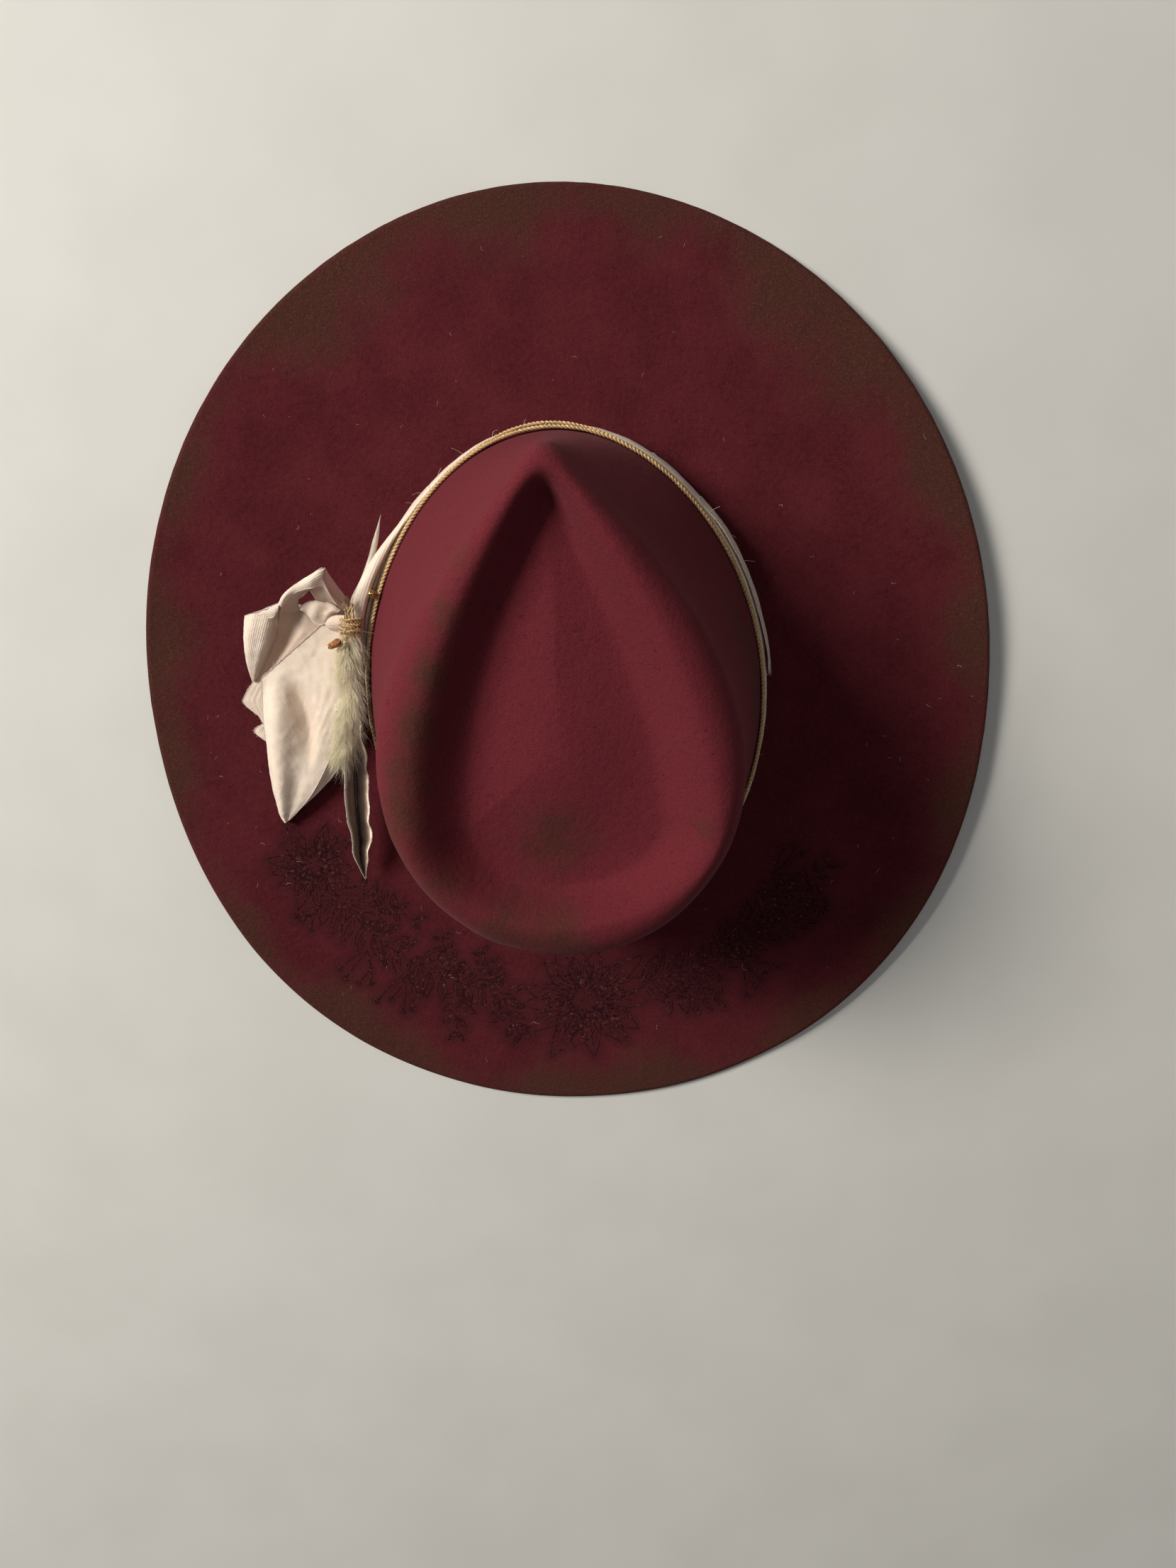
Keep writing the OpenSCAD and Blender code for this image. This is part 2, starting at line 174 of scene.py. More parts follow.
# ---------- meshes ----------
def fractal(points, size, octaves=3, seed=0.0):
    """Smooth noise from about -1 to 1 at each point; size is its grain in millimetres."""
    flat = np.asarray(points, float).reshape(-1, 3) / size + seed
    out = [noise.fractal(Vector(q), 0.9, 2.0, octaves, noise_basis="PERLIN_ORIGINAL") for q in flat]
    return np.array(out).reshape(np.asarray(points).shape[:-1])


def make_mesh(name, points, faces, material):
    """A smooth mesh object from points in millimetres."""
    mesh = bpy.data.meshes.new(name)
    faces = faces if isinstance(faces, list) else faces.tolist()
    mesh.from_pydata((np.asarray(points, float) * MM).tolist(), [], faces)
    mesh.update()
    mesh.materials.append(material)
    mesh.polygons.foreach_set("use_smooth", [True] * len(mesh.polygons))
    obj = bpy.data.objects.new(name, mesh)
    bpy.context.scene.collection.objects.link(obj)
    return obj


def grid_faces(rows, cols, wrap_rows=False, wrap_cols=False, first=0):
    r, c = np.meshgrid(np.arange(rows - (not wrap_rows)), np.arange(cols - (not wrap_cols)), indexing="ij")
    r2, c2 = (r + 1) % rows, (c + 1) % cols
    quads = np.stack([r * cols + c, r2 * cols + c, r2 * cols + c2, r * cols + c2], -1)
    return quads.reshape(-1, 4) + first


def capped(rows, cols):
    """Faces of a stack of rings, closed at both ends."""
    faces = grid_faces(rows, cols, wrap_cols=True).tolist()
    return faces + [list(range(cols))[::-1], list(range((rows - 1) * cols, rows * cols))]


def give(obj, name, values):
    """Stores one number, or a vector, for each point of a mesh."""
    values = np.asarray(values, np.float32)
    kind = "FLOAT_VECTOR" if values.ndim > 1 and values.shape[-1] == 3 else "FLOAT"
    attribute = obj.data.attributes.new(name, kind, "POINT")
    attribute.data.foreach_set("vector" if kind == "FLOAT_VECTOR" else "value", values.ravel())


def place(obj, body, slot, *nodes):
    """Every piece rides on a body and may stand for CAD nodes, whose parts it hides; slot is not used."""
    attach(obj, body)
    if nodes:
        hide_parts(*nodes)
    return obj


# ---------- materials ----------
class Shader:
    """A Principled material, and short ways to add nodes to it."""

    def __init__(self, name, rough=0.6, sheen=0.0, specular=0.5, metallic=0.0, coat=0.0):
        self.material = bpy.data.materials.new(name)
        self.material.use_nodes = True
        self.tree = self.material.node_tree
        self.bsdf = self.tree.nodes["Principled BSDF"]
        self.bsdf.inputs["Roughness"].default_value = rough
        self.bsdf.inputs["Sheen Weight"].default_value = sheen
        self.bsdf.inputs["Specular IOR Level"].default_value = specular
        self.bsdf.inputs["Metallic"].default_value = metallic
        self.bsdf.inputs["Coat Weight"].default_value = coat
        self.place = self.node("TexCoord").outputs["Object"]

    def node(self, kind, **settings):
        made = self.tree.nodes.new("ShaderNode" + kind)
        for key, value in settings.items():
            setattr(made, key, value)
        return made

    def join(self, value, socket):
        if isinstance(value, bpy.types.NodeSocket):
            self.tree.links.new(value, socket)
        else:
            socket.default_value = value

    def noise(self, size, detail=3.0, rough=0.55, stretch=(1, 1, 1), at=None):
        """Noise whose grain is about size millimetres."""
        where = self.node("Mapping")
        self.join(at or self.place, where.inputs["Vector"])
        where.inputs["Scale"].default_value = stretch
        made = self.node("TexNoise")
        self.join(where.outputs[0], made.inputs["Vector"])
        made.inputs["Scale"].default_value = 1 / (size * MM) if at is None else 1 / size
        made.inputs["Detail"].default_value = detail
        made.inputs["Roughness"].default_value = rough
        return made.outputs["Fac"]

    def given(self, name, vector=False):
        return self.node("Attribute", attribute_name=name).outputs["Vector" if vector else "Fac"]

    def math(self, op, a, b):
        made = self.node("Math", operation=op)
        for value, socket in zip((a, b), made.inputs):
            self.join(value, socket)
        return made.outputs[0]

    def spread(self, value, low, high, to_low=0.0, to_high=1.0):
        made = self.node("MapRange", interpolation_type="SMOOTHSTEP")
        names = ("Value", "From Min", "From Max", "To Min", "To Max")
        for key, number in zip(names, (value, low, high, to_low, to_high)):
            self.join(number, made.inputs[key])
        return made.outputs[0]

    def blend(self, factor, a, b):
        made = self.node("Mix", data_type="RGBA")
        for value, socket in ((factor, made.inputs[0]), (a, made.inputs[6]), (b, made.inputs[7])):
            self.join(value if isinstance(value, (float, bpy.types.NodeSocket)) else (*value, 1), socket)
        return made.outputs[2]

    def ramp(self, factor, *stops):
        made = self.node("ValToRGB")
        self.join(factor, made.inputs[0])
        ramp = made.color_ramp
        while len(ramp.elements) < len(stops):
            ramp.elements.new(0.5)
        for element, (at, colour) in zip(ramp.elements, stops):
            element.position = at
            element.color = (*colour, 1)
        return made.outputs[0]

    def colour(self, value):
        self.join(value, self.bsdf.inputs["Base Color"])

    def rough(self, value):
        self.join(value, self.bsdf.inputs["Roughness"])

    def bump(self, *layers):
        """Each layer is (height, depth in millimetres)."""
        normal = None
        for height, depth in layers:
            made = self.node("Bump")
            made.inputs["Strength"].default_value = 1.0
            made.inputs["Distance"].default_value = depth * MM
            self.join(height, made.inputs["Height"])
            if normal is not None:
                self.join(normal, made.inputs["Normal"])
            normal = made.outputs[0]
        self.join(normal, self.bsdf.inputs["Normal"])


# The length of one wave of a wave texture at a scale of 1.
WAVE_LENGTH = 0.314


def grained(name, rough, specular, size, stops, depth, detail=3, harsh=0.6, stretch=(1, 1, 1)):
    """A material whose colour and small relief follow one grain."""
    s = Shader(name, rough=rough, specular=specular)
    grain = s.noise(size, detail, harsh, stretch=stretch)
    s.colour(s.ramp(grain, *stops))
    s.bump((grain, depth))
    return s.material


FELT_RED = (0.098, 0.0140, 0.0185)
FELT_DEEP = (0.070, 0.0090, 0.0125)
CROWN_RED = (0.150, 0.0200, 0.0275)


def wool_felt():
    s = Shader("wool_felt", rough=0.93, sheen=0.06, specular=0.08)
    s.bsdf.inputs["Sheen Roughness"].default_value = 0.45
    s.bsdf.inputs["Sheen Tint"].default_value = (1.0, 0.55, 0.58, 1)
    cloud = s.noise(26, 3, 0.6)
    nap = s.noise(2.2, 4, 0.65)
    fibre = s.noise(0.42, 3, 0.7)
    red = s.blend(s.spread(cloud, 0.32, 0.7), FELT_DEEP, FELT_RED)
    red = s.blend(s.math("MULTIPLY", s.given("crown"), 0.85), red, CROWN_RED)
    red = s.blend(s.spread(nap, 0.3, 0.75, 0.0, 0.35), red, (0.125, 0.020, 0.026))
    red = s.blend(s.spread(nap, 0.28, 0.42, 0.45, 0.0), red, (0.045, 0.006, 0.009))
    red = s.blend(s.spread(fibre, 0.36, 0.46, 0.55, 0.0), red, (0.024, 0.003, 0.006))
    red = s.blend(s.spread(fibre, 0.56, 0.70, 0.0, 0.5), red, (0.19, 0.040, 0.046))
    # scorched patches: a grainy olive brown over the red, thicker where "scorch" is high
    grain = s.noise(0.75, 3, 0.75)
    drift = s.noise(9, 4, 0.6)
    reach = s.math("ADD", s.given("scorch"), s.math("MULTIPLY", s.math("SUBTRACT", drift, 0.5), 0.9))
    cover = s.spread(s.math("ADD", reach, s.math("MULTIPLY", s.math("SUBTRACT", grain, 0.5), 1.1)), 0.3, 0.85)
    brown = s.ramp(grain, (0.3, (0.018, 0.008, 0.006)), (0.5, (0.054, 0.021, 0.014)),
                   (0.7, (0.130, 0.056, 0.030)))
    tone = s.blend(s.math("MULTIPLY", cover, 0.82), red, brown)
    # a brown cast where the iron only warmed the felt
    cast = s.spread(s.given("scorch"), 0.1, 0.9, 0.0, 0.42)
    tone = s.blend(cast, tone, (0.072, 0.026, 0.018))
    # burnt drawing
    tone = s.blend(s.math("MULTIPLY", s.given("burn"), 0.75), tone, (0.024, 0.006, 0.008))
    s.colour(tone)
    s.bump((s.noise(4.5, 2, 0.5), 0.25), (nap, 0.30), (fibre, 0.15))
    return s.material


FELT = wool_felt()

# ---------- felt body ----------
# Scorched patches: x, y, radius, strength, in millimetres from the middle of the hat.
BRIM_SCORCH = [
    (14, -186, 30, 0.75), (92, -150, 26, 0.8), (62, -166, 22, 0.5), (150, -96, 24, 0.45), (168, -30, 26, 0.7),
    (172, 20, 24, 0.55), (152, 100, 22, 0.4), (112, 142, 24, 0.75), (84, 166, 20, 0.5), (20, 188, 26, 0.6),
    (-26, 186, 24, 0.7), (-96, 160, 22, 0.6), (-140, 118, 22, 0.5), (-166, 62, 24, 0.55),
    (-170, -10, 26, 0.7),
    (-160, -76, 28, 0.85), (-122, -118, 30, 0.7), (-92, -150, 26, 0.75), (-44, -178, 24, 0.5)]
# The same on the crown: x, y, z, radius, strength.
CROWN_SCORCH = [
    (33, -44, 110, 10, 0.62), (41, -26, 110, 10, 0.7), (47, -8, 110, 11, 0.7), (53, 10, 108, 12, 0.68),
    (57, 28, 106, 13, 0.62), (50, 52, 104, 15, 0.6), (26, 70, 103, 16, 0.65), (2, 76, 102, 14, 0.6),
    (4, 40, 97, 22, 0.6), (-74, -28, 48, 22, 0.5), (-76, 4, 44, 24, 0.5), (-52, 34, 104, 11, 0.55),
    (26, -62, 108, 9, 0.5)]


def scorch_of(points, v):
    """How scorched each point is, from 0 to 1."""
    x, y, z = np.moveaxis(points, -1, 0)
    edge = np.clip((v - 5) / 1.0, 0, 1)
    total = 0.42 * smooth(0.78, 1.0, edge)
    for cx, cy, r, k in BRIM_SCORCH:
        spot = 0.85 * k * np.exp(-((x - cx) ** 2 + (y - cy) ** 2) / (2 * (0.62 * r) ** 2))
        total = total + np.where(v > 5, spot, 0)
    for cx, cy, cz, r, k in CROWN_SCORCH:
        spot = k * np.exp(-((x - cx) ** 2 + (y - cy) ** 2 + (z - cz) ** 2) / (2 * (0.62 * r) ** 2))
        total = total + np.where(v < 5, spot, 0)
    return np.clip(total, 0, 1)


def handling(p, v, points):
    """The small unevenness of a hand-shaped hat, along the surface's normal."""
    slow = fractal(points, 55, 2, 3.1)
    quick = fractal(points, 16, 2, 7.7)
    crown = 0.55 * slow + 0.16 * quick
    brim = 0.7 * slow * smooth(5.1, 5.5, v) + 0.07 * quick
    crease_marks = 0
    for at_p, at_z, long, wide, deep in ((-14, 31, 9, 1.5, 0.7), (-4, 27, 12, 1.2, 0.5),
                                         (8, 34, 8, 1.6, 0.35)):
        dp = (((p + 180) % 360) - 180 - at_p) / long
        dz = (points[..., 2] - at_z - 2.0 * dp) / wide
        crease_marks = crease_marks - deep * np.exp(-(dp ** 2) - dz ** 2)
    near_floor = np.where(v > 5, smooth(0, 3, rise(p, v - 5)), 1)
    return np.where(v > 5, brim * near_floor,
                    crown * smooth(5.0, 4.4, v) + np.where(v < 4.2, crease_marks, 0))


def spread_rows(spans):
    """Values of v, from (from, to, steps) spans."""
    out = [np.linspace(a, b, n, endpoint=False) for a, b, n in spans]
    return np.concatenate([*out, [spans[-1][1]]])


def felt_body():
    around = 400
    p = np.linspace(0, 360, around, endpoint=False)
    outer_v = spread_rows([(0.04, 1, 22), (1, 2, 20), (2, 3, 16), (3, 4, 30), (4, 5, 7), (5, 6, 46)])
    inner_v = spread_rows([(0.04, 1, 7), (1, 2, 8), (2, 3, 7), (3, 4, 9), (4, 5, 5), (5, 6, 14)])[::-1]
    pp, vv = np.meshgrid(p, outer_v)
    outer = felt(pp, vv)
    outer = outer + handling(pp, vv, outer)[..., None] * outward(pp, vv)
    pi, vi = np.meshgrid(p, inner_v)
    inner = felt(pi, vi)
    inner = inner + (handling(pi, vi, inner) - FELT_T)[..., None] * outward(pi, vi)
    inner[..., 2] = np.maximum(inner[..., 2], 0)
    # the cut edge bulges a little between the two faces
    out = unit(np.concatenate([outer[-1, :, :2], np.zeros((around, 1))], -1))
    waver = 0.12 * fractal(outer[-1], 6, 2, 1.3)[:, None]
    top, low = outer[-1], inner[0]
    outer[-1] = top - 0.35 * out
    edge = [mix(top, low, 0.16) + (0.02 + waver) * out, mix(top, low, 0.5) + (0.16 + waver) * out,
            mix(top, low, 0.84) + (0.02 + waver) * out]
    inner[0] = low - 0.35 * out
    rings = np.concatenate([outer, np.array(edge), inner])
    rows = len(rings)
    v_all = np.concatenate([outer_v, [6, 6, 6], inner_v])
    points = np.concatenate([rings.reshape(-1, 3), [rings[0].mean(0), rings[-1].mean(0)]])
    quads = grid_faces(rows, around, wrap_cols=True).tolist()
    top_pole, low_pole = rows * around, rows * around + 1
    quads += [[top_pole, c, (c + 1) % around] for c in range(around)]
    last = (rows - 1) * around
    quads += [[low_pole, last + (c + 1) % around, last + c] for c in range(around)]
    obj = make_mesh("felt", points, quads, FELT)
    scorch = scorch_of(points[:-2].reshape(rows, around, 3), np.repeat(v_all[:, None], around, 1))
    give(obj, "scorch", np.concatenate([scorch.ravel(), [0, 0]]))
    give(obj, "burn", np.zeros(len(points)))
    give(obj, "crown", np.concatenate([np.repeat(smooth(4.6, 3.9, v_all), around), [1, 1]]))
    return place(obj, "hat", "wool_felt", "felt_brim", "felt_side", "felt_tip")


FELT_OBJ = felt_body()


# ---------- cloth sheets ----------
def through(points, t):
    """A smooth curve through the given points; t runs from 0 to 1 along it."""
    q = np.asarray(points, float)
    s = np.concatenate([[0], np.cumsum(np.linalg.norm(np.diff(q, axis=0), axis=1))])
    s = s / s[-1]
    slope = np.gradient(q, s, axis=0)
    k = np.clip(np.searchsorted(s, t, side="right") - 1, 0, len(s) - 2)
    h = (s[k + 1] - s[k])[:, None]
    u = (t - s[k])[:, None] / h
    return ((1 + 2 * u) * (1 - u) ** 2 * q[k] + u * (1 - u) ** 2 * h * slope[k]
            + u * u * (3 - 2 * u) * q[k + 1] + u * u * (u - 1) * h * slope[k + 1])


def normals_of(grid):
    return unit(np.cross(np.gradient(grid, axis=0), np.gradient(grid, axis=1)))


def span(left, right, rows, cols):
    """A grid of points between two edge curves, with t along the curves and u across from left to right."""
    t, u = np.linspace(0, 1, rows), np.linspace(0, 1, cols)
    a, b = through(left, t), through(right, t)
    grid = mix(a[:, None, :], b[:, None, :], u[None, :, None])
    tt, uu = np.meshgrid(t, u, indexing="ij")
    return grid, tt, uu


def rim_loop(rows, cols):
    """Indices round the edge of a grid."""
    across = [(0, j) for j in range(cols)] + [(i, cols - 1) for i in range(1, rows)]
    back = [(rows - 1, j) for j in range(cols - 2, -1, -1)] + [(i, 0) for i in range(rows - 2, 0, -1)]
    return np.array([i * cols + j for i, j in across + back])


def thread_places(grid, turn):
    """Where each point lies in the flat cloth, in millimetres, turned by an angle in degrees."""
    along = np.concatenate([[0], np.cumsum(np.linalg.norm(np.diff(grid, axis=0), axis=2).mean(1))])
    across = np.concatenate([[0], np.cumsum(np.linalg.norm(np.diff(grid, axis=1), axis=2).mean(0))])
    v, u = np.meshgrid(along, across, indexing="ij")
    c, s = math.cos(math.radians(turn)), math.sin(math.radians(turn))
    return np.stack([u * c - v * s, u * s + v * c, np.zeros_like(u)], -1)


def crumpled(grid, seed, deep=0.22, size=7.0):
    """The soft unevenness of washed cloth."""
    n = normals_of(grid)
    rough = fractal(grid, size, 3, seed) * deep + fractal(grid, 2.2, 2, seed + 5) * deep * 0.22
    return grid + rough[..., None] * n


def thick_sheet(name, grid, thick, material, turn=0.0, threads=None, painted_shade=None):
    """A closed thin sheet over a grid of points, with a soft rounded edge."""
    rows, cols = grid.shape[:2]
    n = normals_of(grid)
    loop = rim_loop(rows, cols)
    flat, flat_n = grid.reshape(-1, 3), n.reshape(-1, 3)
    edge = flat[loop]
    out = unit(np.cross(unit(np.roll(edge, -1, 0) - np.roll(edge, 1, 0)), flat_n[loop]))
    inner = flat.mean(0)
    if np.sum(out * (edge - inner)) < 0:
        out = -out
    points = np.concatenate([flat + flat_n * thick / 2, flat - flat_n * thick / 2, edge + out * thick * 0.45])
    k, m = rows * cols, len(loop)
    here, ahead = np.arange(m), (np.arange(m) + 1) % m
    faces = np.concatenate([
        grid_faces(rows, cols), grid_faces(rows, cols, first=k)[:, ::-1],
        np.stack([loop[here], 2 * k + here, 2 * k + ahead, loop[ahead]], -1),
        np.stack([2 * k + here, k + loop[here], k + loop[ahead], 2 * k + ahead], -1)])
    obj = make_mesh(name, points, faces, material)
    places = (thread_places(grid, turn) if threads is None else threads).reshape(-1, 3)
    give(obj, "threads", np.concatenate([places, places, places[loop]]))
    # The per-point shade values are painted shade, darkening the sheet's colour.
    shade = np.zeros(k) if painted_shade is None else np.broadcast_to(painted_shade, (rows, cols)).ravel()
    give(obj, "painted_shade", np.concatenate([shade, shade, shade[loop]]))
    return obj


# ---------- fine threads and hairs ----------
def tubes(name, paths, radii, material, sides=3, given=None):
    """One mesh of many fine tubes. paths is (tube, step, xyz) and radii (tube, step), in millimetres."""
    paths = np.asarray(paths, float)
    count, steps = paths.shape[:2]
    radii = np.broadcast_to(np.asarray(radii, float), (count, steps))
    d = unit(np.gradient(paths, axis=1))
    ref = np.where(np.abs(d[..., 2:3]) < 0.9, np.array([0, 0, 1.0]), np.array([1.0, 0, 0]))
    x = unit(np.cross(ref, d))
    y = np.cross(d, x)
    a = np.linspace(0, 2 * np.pi, sides, endpoint=False)
    ring = np.cos(a)[:, None] * x[..., None, :] + np.sin(a)[:, None] * y[..., None, :]
    points = (paths[..., None, :] + radii[..., None, None] * ring).reshape(-1, 3)
    base = (np.arange(count) * steps * sides)[:, None, None]
    i, j = np.arange(steps - 1)[None, :, None] * sides, np.arange(sides)[None, None, :]
    j2 = (j + 1) % sides
    quads = np.stack([base + i + j, base + i + j2, base + i + sides + j2, base + i + sides + j], -1)
    faces = quads.reshape(-1, 4).tolist()
    first = np.arange(count)[:, None] * steps * sides
    faces += (first + np.arange(sides)[::-1]).tolist()
    faces += (first + (steps - 1) * sides + np.arange(sides)).tolist()
    obj = make_mesh(name, points, faces, material)
    for key, values in (given or {}).items():
        give(obj, key, np.repeat(np.broadcast_to(values, (count, steps)).reshape(-1), sides))
    return obj


def curls(root, way, curl, reach, steps, sag):
    """Paths of short hairs that run along way and bend towards curl."""
    s = np.linspace(0, 1, steps)[None, :, None]
    return root[:, None] + reach[:, None, None] * (s * way[:, None] + sag * s * s * curl[:, None])


def frayed(name, edge, out, length, spacing, seed, material, radius=0.07, droop=0.25):
    """Loose thread ends along a torn edge. edge and out are matching rows of points and directions."""
    rng = np.random.default_rng(seed)
    total = np.linalg.norm(np.diff(edge, axis=0), axis=1).sum()
    count = max(6, int(total / spacing))
    t = np.sort(rng.random(count))
    k = t * (len(edge) - 1)
    low_k = np.clip(k.astype(int), 0, len(edge) - 2)
    f = (k - low_k)[:, None]
    root = mix(edge[low_k], edge[low_k + 1], f)
    way = unit(mix(out[low_k], out[low_k + 1], f) + rng.normal(0, 0.3, (count, 3)))
    side = rng.normal(0, 0.35, (count, 3))
    reach = length * rng.uniform(0.35, 1.25, count) * (1 + 1.2 * (rng.random(count) > 0.96))
    paths = curls(root - 0.3 * way, way, side, reach, 5, 0.4)
    paths[..., 2] -= droop * reach[:, None] * np.linspace(0, 1, 5) ** 2
    taper = radius * np.linspace(1, 0.45, 5)[None, :] * rng.uniform(0.7, 1.3, count)[:, None]
    return tubes(name, paths, taper, material)


def fray_side(name, grid, side, length, spacing, seed, radius=0.07):
    """Loose threads along the left or the right edge of a sheet of the trim."""
    edge, back = (0, 2) if side == "left" else (-1, -3)
    out = unit(grid[:, edge] - grid[:, back])
    obj = frayed(name, grid[:, edge], out, length, spacing, seed, THREAD, radius=radius)
    return place(obj, "trim", "torn_cotton")


# ---------- cloth and thread materials ----------
CREAM = (0.97, 0.815, 0.665)
CREAM_WARM = (0.91, 0.735, 0.585)
# The colour below is painted shade: the brown that the cloth is darkened towards in its folds, hollows and
# faces out of the light.
PAINTED_SHADE = (0.50, 0.325, 0.235)


def torn_cotton():
    s = Shader("torn_cotton", rough=0.86, sheen=0.22, specular=0.18)
    at = s.given("threads", vector=True)
    warp = s.node("TexWave", wave_type="BANDS", bands_direction="X")
    weft = s.node("TexWave", wave_type="BANDS", bands_direction="Y")
    for wave, pitch in ((warp, 0.78), (weft, 0.40)):
        s.join(at, wave.inputs["Vector"])
        wave.inputs["Scale"].default_value = WAVE_LENGTH / pitch
        wave.inputs["Distortion"].default_value = 0.7
        wave.inputs["Detail"].default_value = 2
        wave.inputs["Detail Scale"].default_value = 0.6
    slub = s.noise(1.1, 3, 0.6, stretch=(1, 0.12, 1), at=at)
    slub_across = s.noise(1.3, 3, 0.6, stretch=(0.14, 1, 1), at=at)
    cloud = s.noise(11, 3, 0.55)
    dust = s.noise(0.5, 3, 0.7)
    tone = s.blend(s.spread(cloud, 0.3, 0.72), CREAM_WARM, CREAM)
    tone = s.blend(s.spread(slub, 0.35, 0.7, 0.0, 0.35), tone, (0.98, 0.86, 0.72))
    tone = s.blend(s.spread(slub_across, 0.5, 0.8, 0.0, 0.22), tone, (0.80, 0.62, 0.48))
    tone = s.blend(s.math("MULTIPLY", warp.outputs["Fac"], 0.10), tone, (0.70, 0.52, 0.39))
    tone = s.blend(s.spread(dust, 0.3, 0.42, 0.16, 0.0), tone, (0.50, 0.37, 0.29))
    # painted shade: darkens the cloth towards that brown where the per-point shade value is high
    tone = s.blend(s.math("MULTIPLY", s.given("painted_shade"), 0.9), tone, PAINTED_SHADE)
    s.colour(tone)
    s.bump((cloud, 0.5), (warp.outputs["Fac"], 0.07), (weft.outputs["Fac"], 0.05), (slub, 0.09), (dust, 0.03))
    return s.material


def loose_thread():
    s = Shader("cotton_thread", rough=0.85, sheen=0.2, specular=0.2)
    s.colour(s.ramp(s.noise(3, 3, 0.6), (0.3, (0.70, 0.56, 0.45)), (0.7, (0.90, 0.80, 0.68))))
    s.bump((s.noise(0.2, 3, 0.6), 0.02))
    return s.material


def gold_twine():
    s = Shader("gold_twine", rough=0.42, sheen=0.15, specular=0.5)
    fleck = s.noise(0.7, 4, 0.75)
    streak = s.noise(2.6, 3, 0.6)
    tone = s.ramp(fleck, (0.30, (0.16, 0.075, 0.025)), (0.46, (0.50, 0.30, 0.12)), (0.62, (0.86, 0.62, 0.31)),
                  (0.78, (1.0, 0.86, 0.56)))
    tone = s.blend(s.spread(streak, 0.4, 0.7, 0.0, 0.5), tone, (0.62, 0.36, 0.15))
    s.colour(tone)
    s.join(s.spread(fleck, 0.5, 0.62, 0.0, 0.55), s.bsdf.inputs["Metallic"])
    s.bump((fleck, 0.10), (s.noise(0.25, 3, 0.6), 0.05))
    return s.material


COTTON = torn_cotton()
THREAD = loose_thread()
TWINE = gold_twine()

# ---------- the cloth hatband ----------
GAP = 0.3
BAND_T = 1.8
BAND_LOW = BASE_Z + 0.5
BAND_TOP = 18.5
KNOT_P = 78


def hatband():
    """A torn strip, folded lengthwise, round the foot of the crown."""
    p = np.linspace(0, 360, 540, endpoint=False)
    inside, outside = GAP + 0.1, GAP + BAND_T
    profile = np.array([
        (inside, BAND_LOW), (inside, 10.5), (inside, 14.5), (inside + 0.1, BAND_TOP - 0.5),
        (inside + 0.5, BAND_TOP + 0.1), (0.5 * (inside + outside), BAND_TOP + 0.3),
        (outside - 0.3, BAND_TOP + 0.05), (outside + 0.05, BAND_TOP - 0.8), (outside + 0.2, 16),
        (outside + 0.3, 13.5), (outside + 0.25, 11), (outside + 0.1, 8.5), (outside - 0.1, BAND_LOW + 0.3),
        (outside - 0.7, BAND_LOW)])
    pp, dd = np.meshgrid(p, profile[:, 0], indexing="ij")
    zz = np.broadcast_to(profile[:, 1], pp.shape)
    grid = wall(pp, zz, dd)
    ripple = fractal(grid * [0.35, 0.35, 1.6], 6, 3, 11.0) * 0.4
    ripple = np.where(dd > 1.0, ripple, 0)
    grid = wall(pp, zz + 0.25 * fractal(grid, 24, 2, 4.0), dd + ripple)
    faces = grid_faces(len(p), len(profile), wrap_rows=True, wrap_cols=True)
    obj = make_mesh("band", grid.reshape(-1, 3), faces, COTTON)
    along = np.radians(pp) * 95
    around = np.cumsum(np.concatenate([[0], np.linalg.norm(np.diff(profile, axis=0), axis=1)]))
    give(obj, "threads", np.stack([np.broadcast_to(around, pp.shape), along, 0 * pp], -1).reshape(-1, 3))
    # painted shade on the band's inner face, where it lies against the crown
    give(obj, "painted_shade", np.where(profile[:, 0] < 1, 0.5, 0.0)[None, :].repeat(len(p), 0).ravel())
    return obj


def flare_of(p):
    return smooth(42, 67, p) * (1 - smooth(69, 80, p))


def band_flare():
    """The band's loose front end: a smooth roll that opens before the knot and is gathered into it."""
    p = np.linspace(36, KNOT_P + 2, 90)
    f = flare_of(p)
    keys = [(2.1 + 2.6 * f, BAND_TOP + 0.3 + 0.2 * f), (2.3 + 3.4 * f, BAND_TOP + 0.5 + 3.0 * f),
            (2.5 + 5.4 * f, BAND_TOP + 0.2 + 3.2 * f), (2.7 + 7.3 * f, BAND_TOP - 1.2 + 1.0 * f),
            (2.7 + 5.6 * f, 14.0 + 0 * f), (2.6 + 1.6 * f, BAND_LOW + 1 + 0 * f)]
    tuck = 1 - smooth(36, 42, p)
    across = np.linspace(0, 1, 34)
    rows = []
    for i, at in enumerate(p):
        section = through([(d[i] - 0.6 * tuck[i], z[i] - 0.6 * tuck[i], 0) for d, z in keys], across)
        pleat = 0.55 * smooth(66, 77, at) * np.sin(across * 17 + 0.5)
        rows.append(wall(at, section[:, 1], section[:, 0] + pleat))
    grid = crumpled(np.array(rows), 21.0, 0.12, 8)
    return thick_sheet("band_flare", grid, 0.5, COTTON), grid


